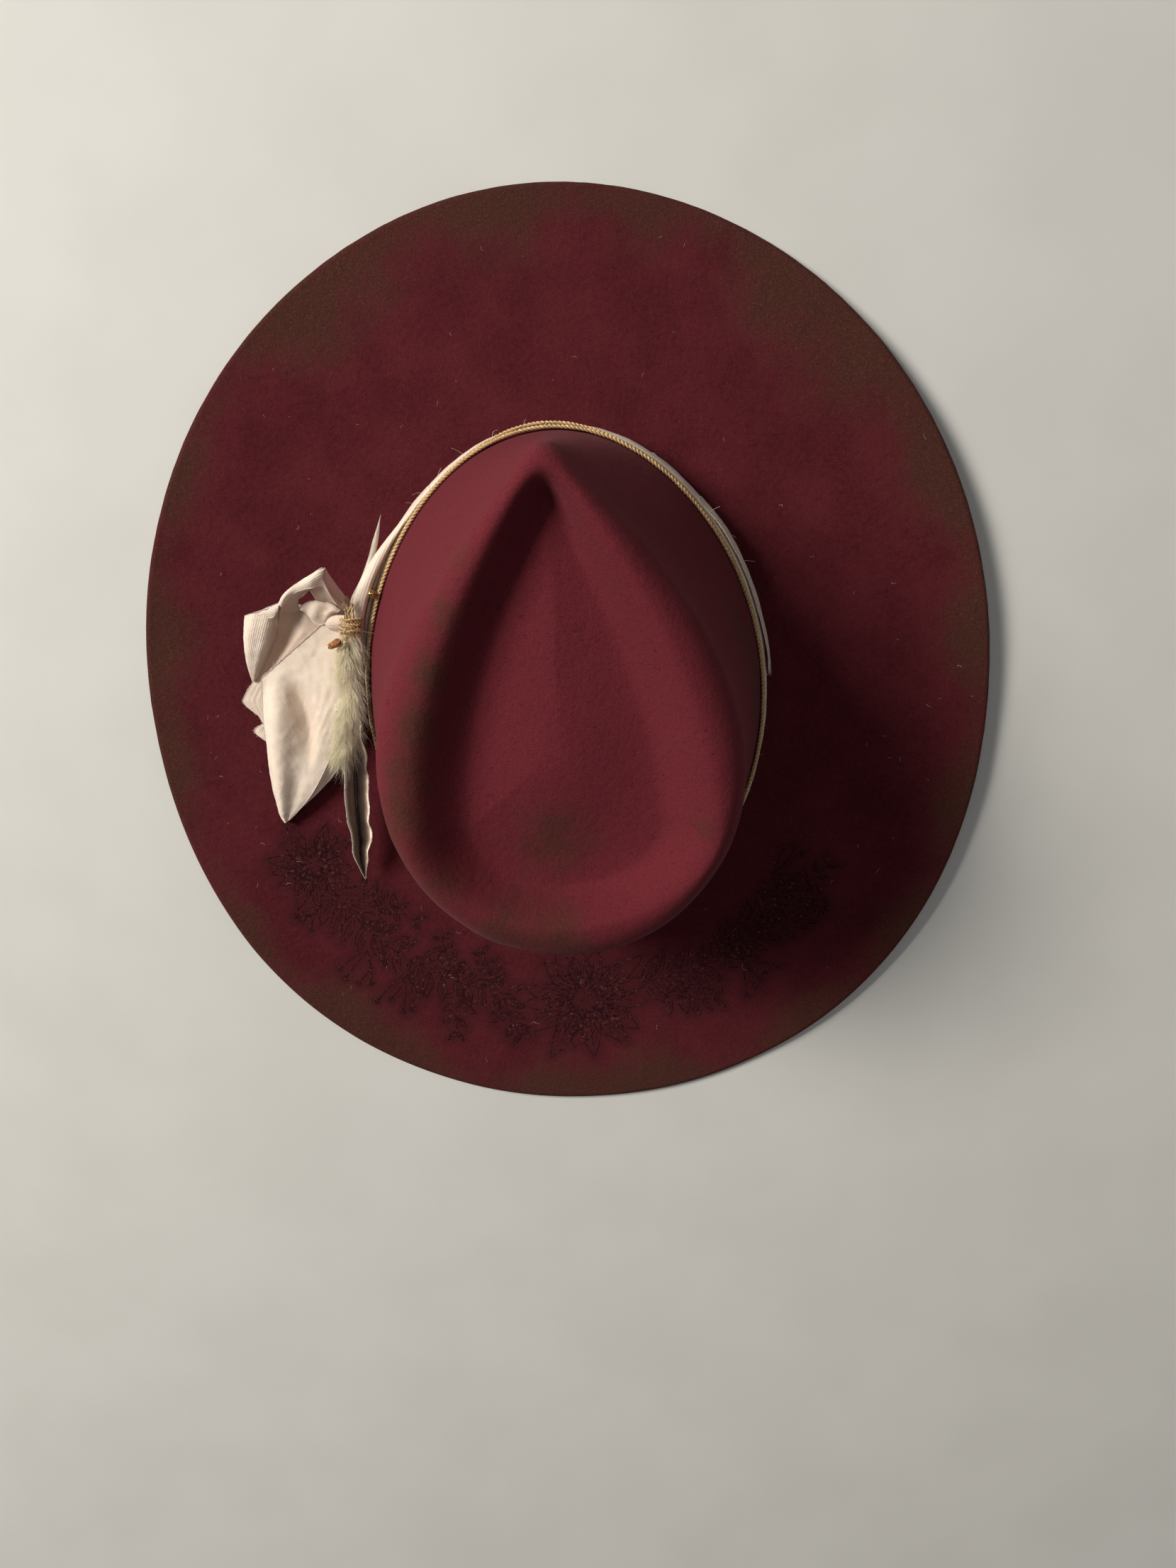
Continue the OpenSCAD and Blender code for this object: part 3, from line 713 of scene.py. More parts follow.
def flare_lining():
    """The strip's inner layer, seen in the shadow between the roll and the twine."""
    p = np.linspace(48, KNOT_P, 46)
    f = flare_of(p)
    rows = []
    for i, at in enumerate(p):
        keys = [(2.5, 12 + f[i], 0), (2.5 + 0.3 * f[i], BAND_TOP - 1.6, 0),
                (2.6 + 0.9 * f[i], BAND_TOP - 1.2 + 1.6 * f[i], 0),
                (2.7 + 1.9 * f[i], BAND_TOP - 2 + 0.2 * f[i], 0),
                (2.7 + 2.6 * f[i], 12, 0)]
        section = through(keys, np.linspace(0, 1, 18))
        rows.append(wall(at, section[:, 1], section[:, 0]))
    grid = crumpled(np.array(rows), 25.0, 0.15, 5)
    # the inner layer is painted in shade all over
    return thick_sheet("band_flare_inner", grid, 0.4, COTTON, painted_shade=0.55), grid


def band_overlap():
    """The strip's other end lies over the band on the right and ends in a fray."""
    p = np.linspace(-46, -88, 70)
    u = np.linspace(0, 1, 22)
    rows = []
    for at in p:
        lift = 0.9 * smooth(-46, -60, -abs(at)) + 0.5 * math.exp(-((at + 84) / 5) ** 2)
        start = 1 - smooth(46, 54, abs(at))
        z = mix(BAND_LOW + 1.2, BAND_TOP - 0.2 + 0.6 * math.sin(at * 0.21), u)
        bow = 0.5 * np.sin(np.pi * u) + 0.25 * u * smooth(70, 88, abs(at))
        rows.append(wall(at, z, GAP + BAND_T + 0.55 - 0.6 * start + lift * 0.7 + bow))
    grid = crumpled(np.array(rows), 31.0, 0.25, 7)
    obj = thick_sheet("band_overlap", grid, 0.45, COTTON, turn=90)
    fray = frayed("overlap_fray", grid[-1], unit(grid[-1] - grid[-3]), 2.2, 0.16, 5, THREAD)
    place(fray, "trim", "torn_cotton")
    return obj, grid, [fray, fray_side("overlap_edge_fray", grid, "right", 0.5, 0.35, 6, 0.05)]


BAND = place(hatband(), "trim", "torn_cotton", "hatband")
FLARE, flare_grid = band_flare()
FLARE_IN, flare_in_grid = flare_lining()
OVERLAP, overlap_grid, overlap_frays = band_overlap()
place(FLARE, "trim", "torn_cotton")
place(FLARE_IN, "trim", "torn_cotton")
place(OVERLAP, "trim", "torn_cotton", "hatband_overlap")

# ---------- twine, bead and lashing ----------
TWINE_D = 1.7
TWINE_Z = BAND_TOP + 0.5 + GAP + TWINE_D / 2


def strands(path, pitch, offset, count=2, closed=True, phase=0.0):
    """The separate plies of a twisted cord along a path of points."""
    step = np.linalg.norm(np.diff(path, axis=0), axis=1)
    s = np.concatenate([[0], np.cumsum(step)])
    if closed:
        turns = round(s[-1] / pitch)
        angle = 2 * np.pi * turns * s / s[-1]
    else:
        angle = 2 * np.pi * s / pitch
    x, y = cross_axes(unit(np.gradient(path, axis=0)))
    out = []
    for k in range(count):
        a = (angle + 2 * np.pi * k / count + phase)[:, None]
        out.append(path + offset * (np.cos(a) * x + np.sin(a) * y))
    return np.array(out)


def twine_turn(name, node, height, spread_at, spread_by, phase):
    p = np.linspace(0, 360, 1150)
    ahead = np.exp(-(((p + 180) % 360 - 180 - spread_at) / 17) ** 2)
    depth = GAP + TWINE_D / 2 + spread_by * ahead
    sway = 0.12 * np.sin(np.radians(p * 7)) + 0.1 * np.sin(np.radians(p * 13 + 40))
    path = wall(p, height + sway * 0.8 + 0.35 * ahead * (spread_by > 0), depth + 0.05)
    plies = strands(path, 3.4, 0.40, phase=phase)
    thick = 0.45 + 0.05 * np.sin(np.radians(p * 41))
    obj = tubes(name, plies, np.broadcast_to(thick, plies.shape[:2]), TWINE, sides=7)
    return place(obj, "trim", "gold_twine", node)


def twine_fuzz():
    """Fine fibres that stand off the twine."""
    rng = np.random.default_rng(41)
    n = 420
    p = rng.uniform(0, 360, n)
    root = wall(p, TWINE_Z + rng.uniform(-0.6, 2.6, n), GAP + TWINE_D * rng.uniform(0.4, 1.0, n))
    way = unit(outward(p, 3.8) + rng.normal(0, 0.7, (n, 3)) + [0, 0, 0.5])
    curl = rng.normal(0, 0.6, (n, 3))
    return tubes("twine_fuzz", curls(root, way, curl, rng.uniform(0.5, 1.5, n), 5, 0.7), 0.035, TWINE)


def band_threads():
    """A few long curled threads that stick out from the upper half of the band."""
    rng = np.random.default_rng(43)
    at = np.array([6, 15, 24, 33, 38, 42, -50, -57, -63, -30, 120, 160, 200])
    n = len(at)
    root = wall(at, rng.uniform(14, BAND_TOP, n), GAP + BAND_T + 0.2)
    way = unit(outward(at, 3.9) + rng.normal(0, 0.35, (n, 3)) + [0, 0, 0.15])
    curl = rng.normal(0, 1.0, (n, 3))
    return tubes("band_threads", curls(root, way, curl, rng.uniform(2.5, 5.5, n), 9, 0.5), 0.06, THREAD)


def brass():
    s = Shader("brass", rough=0.16, metallic=1.0, specular=0.6)
    wear = s.noise(1.2, 4, 0.6)
    s.colour(s.ramp(wear, (0.35, (0.55, 0.36, 0.13)), (0.6, (0.93, 0.72, 0.36))))
    s.rough(s.spread(wear, 0.3, 0.7, 0.10, 0.34))
    s.bump((s.noise(0.5, 3, 0.6), 0.04), (wear, 0.12))
    return s.material


def bead():
    """A small cast bead of two rounded lobes with a collar, on the upper twine."""
    centre = wall(64.0, TWINE_Z + TWINE_D + GAP + 1, GAP + TWINE_D + 1.95)
    out = outward(64.0, 3.8)
    along = unit(np.cross([0, 0, 1], out))
    up = np.cross(out, along)
    rows, cols = 60, 40
    profile = [(0.0, -1.75), (0.75, -1.7), (1.35, -1.35), (1.6, -0.85), (1.45, -0.35), (1.12, -0.08),
               (1.12, 0.08),
               (1.45, 0.35), (1.62, 0.85), (1.35, 1.35), (0.75, 1.7), (0.0, 1.75)]
    curve = through([(r, h, 0) for r, h in profile], np.linspace(0, 1, rows))
    a = np.linspace(0, 2 * np.pi, cols, endpoint=False)
    spokes = np.cos(a)[:, None] * along + np.sin(a)[:, None] * out
    points = []
    for r, h, _ in curve:
        dent = 1 + 0.05 * np.sin(3 * a + 2 * h)
        points.append(centre + h * up + ((max(r, 0.0) + 1e-3) * dent)[:, None] * spokes)
    return make_mesh("bead", np.array(points).reshape(-1, 3), capped(rows, cols), brass())


twine_turn("twine_top", "twine_upper", TWINE_Z + TWINE_D + GAP, 0, 0.0, 0.0)
twine_turn("twine_low", "twine_lower", TWINE_Z, 2, 1.5, 1.1)
place(twine_fuzz(), "trim", "gold_twine")
place(band_threads(), "trim", "torn_cotton")
place(bead(), "trim", "brass", "twine_bead")

BUNDLE = np.array([84.2, -34, 26.3])
LASH_R = 4.05


def lashing():
    """Four turns of the same two-ply twine round the stems."""
    t = np.linspace(0, 1, 520)
    angle = 2 * np.pi * 4 * t + 0.6
    wobble = 1 + 0.05 * np.sin(5 * angle) + 0.04 * np.sin(2.3 * angle + 1)
    lean = math.radians(-8)
    y = (t - 0.5) * 6.6 + 0.5 * np.sin(1.7 * angle)
    ring = np.stack([LASH_R * wobble * np.cos(angle), y, 0.92 * LASH_R * wobble * np.sin(angle)], -1)
    c, s = math.cos(lean), math.sin(lean)
    path = np.stack([ring[:, 0] * c - ring[:, 1] * s, ring[:, 0] * s + ring[:, 1] * c, ring[:, 2]],
                    -1) + BUNDLE
    plies = strands(path, 2.6, 0.31, closed=False)
    return tubes("lashing", plies, 0.33, TWINE, sides=7)


def lashing_ends():
    """The twine's loose fibres at the lashing."""
    rng = np.random.default_rng(47)
    n = 90
    root = BUNDLE + np.stack([rng.uniform(-3.5, 3.5, n), rng.uniform(-2.5, 4.5, n), rng.uniform(2.5, 4.4, n)],
                             -1)
    way = unit(rng.normal(0, 1, (n, 3)) * [0.8, 1.2, 0.35] + [0, 0.3, 0.1])
    curl = rng.normal(0, 0.8, (n, 3)) * [1, 1, 0.4]
    paths = curls(root, way, curl, rng.uniform(1.5, 6.0, n), 7, 0.5)
    radius = rng.uniform(0.05, 0.13, n)[:, None] * np.linspace(1, 0.5, 7)[None]
    return tubes("lashing_ends", paths, radius, TWINE)


place(lashing(), "trim", "gold_twine", "twine_lashing")
place(lashing_ends(), "trim", "gold_twine")

# ---------- the bow ----------
def arch(u):
    """0 at both edges and 1 in the middle."""
    return np.sin(np.pi * np.clip(u, 0, 1))


def bow_piece(name, node, left, right, rows, cols, relief, turn=0.0, painted_shade=None, thick=0.5, seed=50.0, deep=0.2,
              held="folded", rests_on=("knot",), flat_threads=None):
    """A sheet of the bow between two edge curves, raised by relief(t, u) millimetres."""
    grid, t, u = span(left, right, rows, cols)
    grid[..., 2] += relief(t, u)
    grid = crumpled(grid, seed, deep)
    # The optional shade function paints shade into the sheet's colour.
    shade = painted_shade(t, u) if painted_shade else None
    threads = None
    if flat_threads is not None:
        c, s = math.cos(math.radians(flat_threads)), math.sin(math.radians(flat_threads))
        turned = [grid[..., 0] * c - grid[..., 1] * s, grid[..., 0] * s + grid[..., 1] * c, 0 * t]
        threads = np.stack(turned, -1)
    obj = thick_sheet(name, grid, thick, COTTON, turn=turn, threads=threads, painted_shade=shade)
    place(obj, "trim", "torn_cotton", *([node] if node else []))
    return obj, grid, held, rests_on


KNOT_TURN = math.radians(-20)


def knot():
    """Cloth gathered tight: a barrel with soft folds running over it."""
    rows, cols = 60, 72
    round_it = np.linspace(0, 2 * np.pi, cols, endpoint=False)
    t, a = np.meshgrid(np.linspace(0, 1, rows), round_it, indexing="ij")
    radius = 5.1 * np.clip(np.sin(np.pi * np.clip(t, 0.02, 0.98)), 0, 1) ** 0.34
    folds = 0.42 * np.sin(4 * a + 6 * t) * np.sin(np.pi * t) + 0.25 * np.sin(7 * a - 5 * t + 1)
    r = np.maximum(radius + folds * np.sin(np.pi * t), 0.02)
    ax = np.array(Vector((math.cos(KNOT_TURN), math.sin(KNOT_TURN), 0)))
    side = np.array([-ax[1], ax[0], 0])
    base = np.array([90, -40.5, 20.6])
    points = (base + ((t - 0.5) * 6.8)[..., None] * ax + (r * np.cos(a))[..., None] * side
              + (r * np.sin(a))[..., None] * [0, 0, 1])
    points = crumpled(points, 61.0, 0.18, 4)
    obj = make_mesh("knot", points.reshape(-1, 3), capped(rows, cols), COTTON)
    give(obj, "threads", np.stack([t * 8, a * 5, 0 * t], -1).reshape(-1, 3))
    # painted shade that follows the folds round the knot
    give(obj, "painted_shade", (0.18 + 0.2 * np.sin(4 * a + 6 * t)).clip(0, 1).ravel())
    return place(obj, "trim", "torn_cotton", "bow_knot")


def bow():
    """The knot and the folds of the two loops, each fold its own sheet."""
    knot()
    # The shade functions below paint shade into the cloth's colour: in a crease on the loop's crest, inside
    # the loops, where the broad loop turns into the valley, down the valley, in the small fold's opening and
    # evenly over the folds by the knot.
    rise = bow_piece(
        "loop_rise", "bow_upper_loop", [(84.5, -44.5, 26), (87, -52, 33), (88.5, -58.5, 40)],
        [(88, -42.5, 26), (89.5, -49, 34), (89.6, -57.5, 40.3)], 34, 16, lambda t, u: 0.5 * arch(u), seed=51,
        deep=0.14)
    crest = bow_piece(
        "loop_crest", None,
        [(87, -43, 27), (89, -49, 34.5), (89.5, -54, 38), (89, -58.5, 40.5), (94, -56.5, 39.5),
         (101.5, -53, 36),
         (108, -49, 32), (111.5, -45.5, 28)],
        [(88, -42, 26.5), (88.5, -44.5, 30), (90, -48.5, 34), (92, -51.5, 37), (96, -51, 37.5),
         (99.5, -50.5, 36),
         (105, -48.5, 32), (111, -43.5, 27.5)],
        100, 22, lambda t, u: 0.9 * arch(u) - 0.3 * arch(u) * np.cos(18 * t), turn=8, seed=52, deep=0.2,
        painted_shade=lambda t, u: 0.25 * np.exp(-((t - 0.36) / 0.05) ** 2))
    inside_left = bow_piece(
        "loop_inside_left", None,
        [(96, -51, 36.8), (100, -50.5, 35), (105, -48.5, 31), (111, -44, 27), (114, -40, 22)],
        [(96.5, -50.6, 36), (100.5, -48, 31), (104, -46, 27), (105.5, -43, 23), (106, -40.5, 18.5)],
        48, 18, lambda t, u: -0.8 * arch(u), painted_shade=lambda t, u: 0.35 + 0.3 * t, seed=53)
    inside_right = bow_piece(
        "loop_inside_right", None,
        [(96, -51, 36.8), (92.5, -51.5, 36.5), (90, -48.5, 33.5), (88.5, -44.5, 29.5), (88.5, -42, 26)],
        [(96.5, -50.6, 36), (96, -48, 33), (95.5, -45.5, 30), (93, -44.5, 28), (90, -42.5, 26)],
        40, 16, lambda t, u: -0.6 * arch(u), painted_shade=lambda t, u: 0.3 + 0.2 * u, seed=54)
    flap = bow_piece(
        "corner_flap", None, [(121.5, -41.3, 24.4), (119, -43, 25.5), (115, -44.3, 27), (111, -45.5, 28.5)],
        [(121.5, -40, 24), (120, -40, 24.4), (116, -39.5, 25.4), (113, -42, 27)], 30, 14,
        lambda t, u: 0.5 * arch(u), seed=55, deep=0.12, turn=30)
    broad = bow_piece(
        "loop_broad", "bow_lower_loop",
        [(129, -40.5, 18.5), (130, -34.5, 19.5), (131, -28, 18.5), (132, -20, 15.5), (132.5, -12, 10.5)],
        [(112, -44.5, 26.5), (115.5, -36, 21.5), (120, -27, 17), (125, -19.5, 14), (131, -12, 10)],
        84, 60, lambda t, u: (3.4 * arch(u ** 0.8) + 0.5 * np.sin(9 * u + 3 * t) * arch(u)) * (1 - 0.75 * t),
        turn=-8, seed=56, deep=0.26, painted_shade=lambda t, u: 0.75 * smooth(0.72, 1.0, u))
    valley = bow_piece(
        "loop_valley", None,
        [(111, -45, 25.8), (115.7, -36, 20.6), (120.5, -27.2, 16), (125.5, -19.2, 13), (131.3, -11.5, 9.3)],
        [(97, -40.5, 18.5), (96, -33, 18), (105, -25, 15.5), (116, -17, 13), (126.5, -8.8, 9)],
        90, 64,
        lambda t, u: -4.2 * np.exp(-((u - 0.3) / 0.2) ** 2) * (1 - t) ** 0.6
        + 0.35 * np.sin(26 * u) * arch(u) * t,
        seed=57, deep=0.2, painted_shade=lambda t, u: 0.55 + 0.3 * np.exp(-((u - 0.22) / 0.22) ** 2) - 0.25 * t,
        flat_threads=-33)
    fold = bow_piece(
        "inner_fold", "bow_inner_fold",
        [(105.5, -42, 22), (102, -44.2, 25), (98, -45.2, 27), (92, -44.7, 28), (87.5, -40.5, 27.5)],
        [(103, -41, 21), (101.5, -38, 21.5), (100, -36, 22), (98, -35, 22.5), (90.5, -39.5, 25.5)],
        60, 30, lambda t, u: 1.5 * arch(u) + 0.55 * np.sin(15 * t + 3 * u) * arch(u), turn=20, seed=58,
        painted_shade=lambda t, u: 0.3 + 0.45 * np.exp(-((t - 0.72) / 0.1) ** 2 - ((u - 0.35) / 0.12) ** 2))
    pillow = bow_piece(
        "knot_fold_left", None, [(95.5, -35.5, 23), (92.5, -38.5, 25.5), (86, -38.5, 27)],
        [(93.5, -32.6, 21.5), (90, -31.3, 22), (87.5, -33, 25.5)], 34, 28,
        lambda t, u: 2.2 * arch(u) * (0.4 + 0.6 * arch(t)), turn=40, seed=59, painted_shade=lambda t, u: 0.25 + 0 * t)
    pillow_right = bow_piece(
        "knot_fold_right", None, [(89, -33.6, 25), (86.5, -35.2, 27), (82.5, -33.4, 26.5)],
        [(88.4, -31, 24.5), (86, -29.8, 24), (84, -30.8, 24.5)], 26, 22,
        lambda t, u: 1.6 * arch(u), turn=10, seed=60, painted_shade=lambda t, u: 0.3 + 0 * t)
    fray_side("crest_fray", crest[1], "right", 0.35, 0.5, 71, 0.045)
    fray_side("flap_fray", flap[1], "right", 0.6, 0.3, 72, 0.05)


def tails():
    """The long front tail, its folded edge under it, and the two torn ends behind."""
    def tail_relief(t, u):
        bulge = np.exp(-((u - 0.13 - 0.12 * t) / (0.12 + 0.1 * t)) ** 2)
        roll = 4.2 * bulge * smooth(0.02, 0.3, t) * (1 - 0.5 * smooth(0.75, 1, t))
        edge = -3.2 * smooth(0.12, 0.0, u) * smooth(0.0, 0.2, t)
        line = (u - 0.19 - 0.72 * t) / (0.075 + 0.06 * t)
        valley = -2.9 * np.exp(-line ** 2) * smooth(0.05, 0.25, t) * (1 - smooth(0.45, 0.78, t))
        swell = 1.3 * np.exp(-((u - 0.70) / 0.22) ** 2) * smooth(0.0, 0.3, t) * (1 - 0.6 * t)
        ribs = 0.05 * np.sin(60 * u + 22 * t) * smooth(0.35, 0.55, u) * (1 - smooth(0.45, 0.7, t))
        return roll + edge + valley + swell + ribs

    # The shade functions below paint shade into the cloth's colour: down the front tail's valley, and evenly
    # over the folded edge under it and the two torn ends behind.
    front = bow_piece(
        "front_tail", "bow_front_tail",
        [(126.3, -13.8, 17), (127.6, -8, 16.5), (128.8, 2, 15.5), (129.8, 13.5, 14), (130.7, 26, 12),
         (130.7, 41, 9.5),
         (129.3, 50, 8), (128, 51.7, 7.8)],
        [(96.5, -35.5, 22.5), (84.5, -27, 20.5), (85, -10, 18), (91.5, 2, 16.6), (98.5, 14.5, 14.8),
         (107, 29.5, 12.2),
         (115, 40.5, 10.3), (125, 50, 8.3)],
        130, 96, tail_relief, seed=62, deep=0.3, thick=0.55, held="hung", flat_threads=-29,
        painted_shade=lambda t, u: 0.4 * np.exp(-((u - 0.21 - 0.72 * t) / 0.09) ** 2) * smooth(0.06, 0.24, t)
        * (1 - smooth(0.45, 0.8, t)))
    under = bow_piece(
        "front_tail_under", None,
        [(111, 14, 9.5), (114, 26, 9), (118, 35, 8.5), (123, 43, 7.5), (127, 50, 6.6)],
        [(94.5, 15, 9.5), (99, 26, 9.2), (103.8, 31.8, 8.8), (116.5, 43, 7.2), (125.8, 50, 6.5)],
        60, 30, lambda t, u: 0.6 * arch(u), seed=63, painted_shade=lambda t, u: 0.15 + 0 * t, flat_threads=30,
        rests_on=("felt",))
    rear = bow_piece(
        "rear_tail", "bow_rear_tails",
        [(131.5, -12.5, 9.6), (135, -8.6, 9.4), (137.9, -4.4, 9), (138.4, -3.3, 9), (137.9, -2.2, 8.9),
         (135.2, 0.9, 8.6),
         (132.6, 3.6, 8.4), (131.3, 6.5, 8.3)],
        [(121, -15, 10), (123, -9, 9.8), (124.5, -4.5, 9.5), (126, 0.5, 9.3), (126.5, 3, 9), (129, 7.5, 8.6)],
        60, 36, lambda t, u: 0.08 * np.sin(34 * u + 6 * t) * arch(u), seed=64, deep=0.1,
        painted_shade=lambda t, u: 0.3 + 0 * t, flat_threads=-24)
    rear_low = bow_piece(
        "rear_tail_low", None,
        [(130.5, 6.8, 7.3), (133.6, 8.2, 7.2), (135.6, 9.4, 7.1), (136, 10.3, 7.1), (135.4, 11.4, 7.1),
         (133.2, 13.4, 7.1),
         (131, 15.4, 7.1)],
        [(122, 6, 7.4), (122, 8.5, 7.4), (122.5, 11, 7.4), (123, 14, 7.3), (124, 17, 7.3)],
        34, 24, lambda t, u: 0.3 * np.sin(12 * u) * arch(u), seed=65, painted_shade=lambda t, u: 0.15 + 0 * t,
        rests_on=("felt",))
    torn = front[1][0]
    torn_out = unit(torn - front[1][2])
    fringe = frayed("tail_fringe", torn + [0, 0, 0.15], torn_out, 1.15, 0.075, 73, THREAD, radius=0.075,
                    droop=0.1)
    fringe_fine = frayed("tail_fringe_fine", torn + [0, 0, 0.3], torn_out, 0.7, 0.12, 74, THREAD, radius=0.05,
                         droop=-0.1)
    rear_edge = rear[1][:, 0]
    rear_out = unit(rear_edge - rear[1][:, 2])
    rear_fringe = frayed("rear_fringe", rear_edge, rear_out, 0.8, 0.16, 75, THREAD)
    low_edge = rear_low[1][:, 0]
    low_fringe = frayed("rear_low_fringe", low_edge, unit(low_edge - rear_low[1][:, 2]), 0.9, 0.2, 76, THREAD)
    side_edge = under[1][:, -1]
    under_fringe = frayed("under_fringe", side_edge, unit(side_edge - under[1][:, -3]), 0.5, 0.4, 77, THREAD,
                          radius=0.05)
    for piece in (fringe, fringe_fine, rear_fringe, low_fringe, under_fringe):
        place(piece, "trim", "torn_cotton")


bow()
tails()


# ---------- plume, bud and feather ----------
def dried_grass():
    s = Shader("dried_grass", rough=0.55, sheen=0.25, specular=0.35)
    mix_in = s.noise(2.4, 3, 0.6)
    tone = s.ramp(mix_in, (0.3, (0.97, 0.80, 0.50)), (0.5, (1.0, 0.89, 0.64)), (0.72, (1.0, 0.95, 0.82)))
    s.colour(s.blend(s.spread(s.given("along"), 0.0, 0.5, 0.35, 0.0), tone, (0.84, 0.66, 0.38)))
    s.bump((s.noise(0.3, 2, 0.5), 0.02))
    s.bsdf.inputs["Subsurface Weight"].default_value = 0.25
    s.bsdf.inputs["Subsurface Radius"].default_value = (0.002, 0.0016, 0.0008)
    return s.material


PLUME_AXIS = [(85, -30.5, 29), (86, -22, 30), (87, -10, 30.5), (88.5, 2, 29.5), (92, 12, 28), (97, 21, 26)]


def plume_frame(t, angle):
    """Points of the plume's axis, the way ahead, the way to one side, and the way out at an angle."""
    root = through(PLUME_AXIS, t)
    ahead = unit(through(PLUME_AXIS, np.clip(t + 0.02, 0, 1)) - through(PLUME_AXIS, np.clip(t - 0.02, 0, 1)))
    x, y = cross_axes(ahead)
    return root, ahead, x, np.cos(angle)[:, None] * x + np.sin(angle)[:, None] * y


def swept(root, out, reach, out_power, ahead, forward, ahead_power, bend, steps):
    """Paths of hairs that leave the axis outwards and turn ahead."""
    s = np.linspace(0, 1, steps)[None, :, None]
    return (root[:, None] + (reach[:, None, None] * (1 - (1 - s) ** out_power)) * out[:, None]
            + forward[:, None, None] * s ** ahead_power * ahead[:, None] + s * s * bend[:, None])


def plume():
    """A soft seed head: hairs in tufts that lean towards its tip."""
    rng = np.random.default_rng(81)
    grass = dried_grass()
    tuft_count = 150
    tuft_t = rng.beta(1.25, 1.05, tuft_count)
    tuft_angle = rng.uniform(0, 2 * np.pi, tuft_count)
    per = 26
    t = np.clip(np.repeat(tuft_t, per) + rng.normal(0, 0.012, tuft_count * per), 0, 1)
    angle = np.repeat(tuft_angle, per) + rng.normal(0, 0.28, tuft_count * per)
    n = len(t)
    root, ahead, _, radial = plume_frame(t, angle)
    girth = 6.5 * np.clip(np.sin(np.pi * np.clip(0.24 + 0.72 * t, 0, 1)), 0.2, 1) ** 0.6
    clump = np.repeat(rng.uniform(0.72, 1.2, tuft_count), per)
    reach = girth * clump * rng.uniform(0.8, 1.05, n)
    reach = np.where(rng.random(n) > 0.97, reach * 1.25, reach)
    forward = rng.uniform(4.5, 8.0, n) * (1.0 - 0.25 * t)
    paths = swept(root, radial, reach, 1.7, ahead, forward, 1.5, rng.normal(0, 0.8, (n, 3)), 6)
    radius = rng.uniform(0.05, 0.095, n)[:, None] * np.array([1.0, 1.0, 0.95, 0.85, 0.6, 0.25])[None]
    obj = tubes("plume", paths, radius, grass, given={"along": np.broadcast_to(np.linspace(0, 1, 6), (n, 6))})
    return place(obj, "trim", "dried_grass", "plume_head")


def plume_wisps():
    """The finest outer hairs, long and sparse."""
    rng = np.random.default_rng(83)
    n = 1500
    t = rng.beta(1.1, 1.0, n)
    root, ahead, x, radial = plume_frame(t, rng.uniform(0, 2 * np.pi, n))
    leaning = unit(radial + 0.45 * x)
    reach = rng.uniform(5.0, 9.4, n)
    forward = rng.uniform(4, 10, n)
    paths = swept(root, leaning, reach, 1.5, ahead, forward, 1.6, rng.normal(0, 1.5, (n, 3)), 7)
    obj = tubes("plume_wisps", paths, 0.035 * np.linspace(1, 0.4, 7)[None], bpy.data.materials["dried_grass"],
                given={"along": np.ones((n, 7))})
    return place(obj, "trim", "dried_grass")


def dry_stem():
    stops = ((0.3, (0.30, 0.19, 0.08)), (0.6, (0.62, 0.48, 0.25)), (0.8, (0.78, 0.66, 0.40)))
    return grained("dried_stem", 0.6, 0.3, 0.9, stops, 0.12, 4, 0.65, (1, 0.15, 1))


def stems():
    """The plume's stalk and a few thinner stalks bound in with it."""
    rng = np.random.default_rng(85)
    s = np.linspace(0, 1, 30)
    paths = [through([BUNDLE + [0.5, -12, 0.5], BUNDLE + [0.5, -6, 0.6], BUNDLE + [0.2, 3.6, -0.1],
                      (85, -26, 29.5)], s)]
    for k in range(7):
        off = rng.uniform(-1.7, 1.7, 3) * [1, 0, 0.9]
        end = np.array([rng.uniform(-3, 2), -rng.uniform(7, 12), rng.uniform(-0.5, 2)])
        paths.append(through([BUNDLE + end, BUNDLE + off + [0, -3, 0], BUNDLE + off * 0.9 + [0, 3, 0.5],
                              BUNDLE + off + [1, 7, 2.0]], s))
    knuckle = 1 + 0.25 * np.exp(-((s - 0.45) / 0.04) ** 2)
    radii = np.array([0.6] + [0.28] * 7)[:, None] * knuckle[None]
    return place(tubes("stems", np.array(paths), radii, dry_stem(), sides=8), "trim", "dried_stem",
                 "plume_stem")


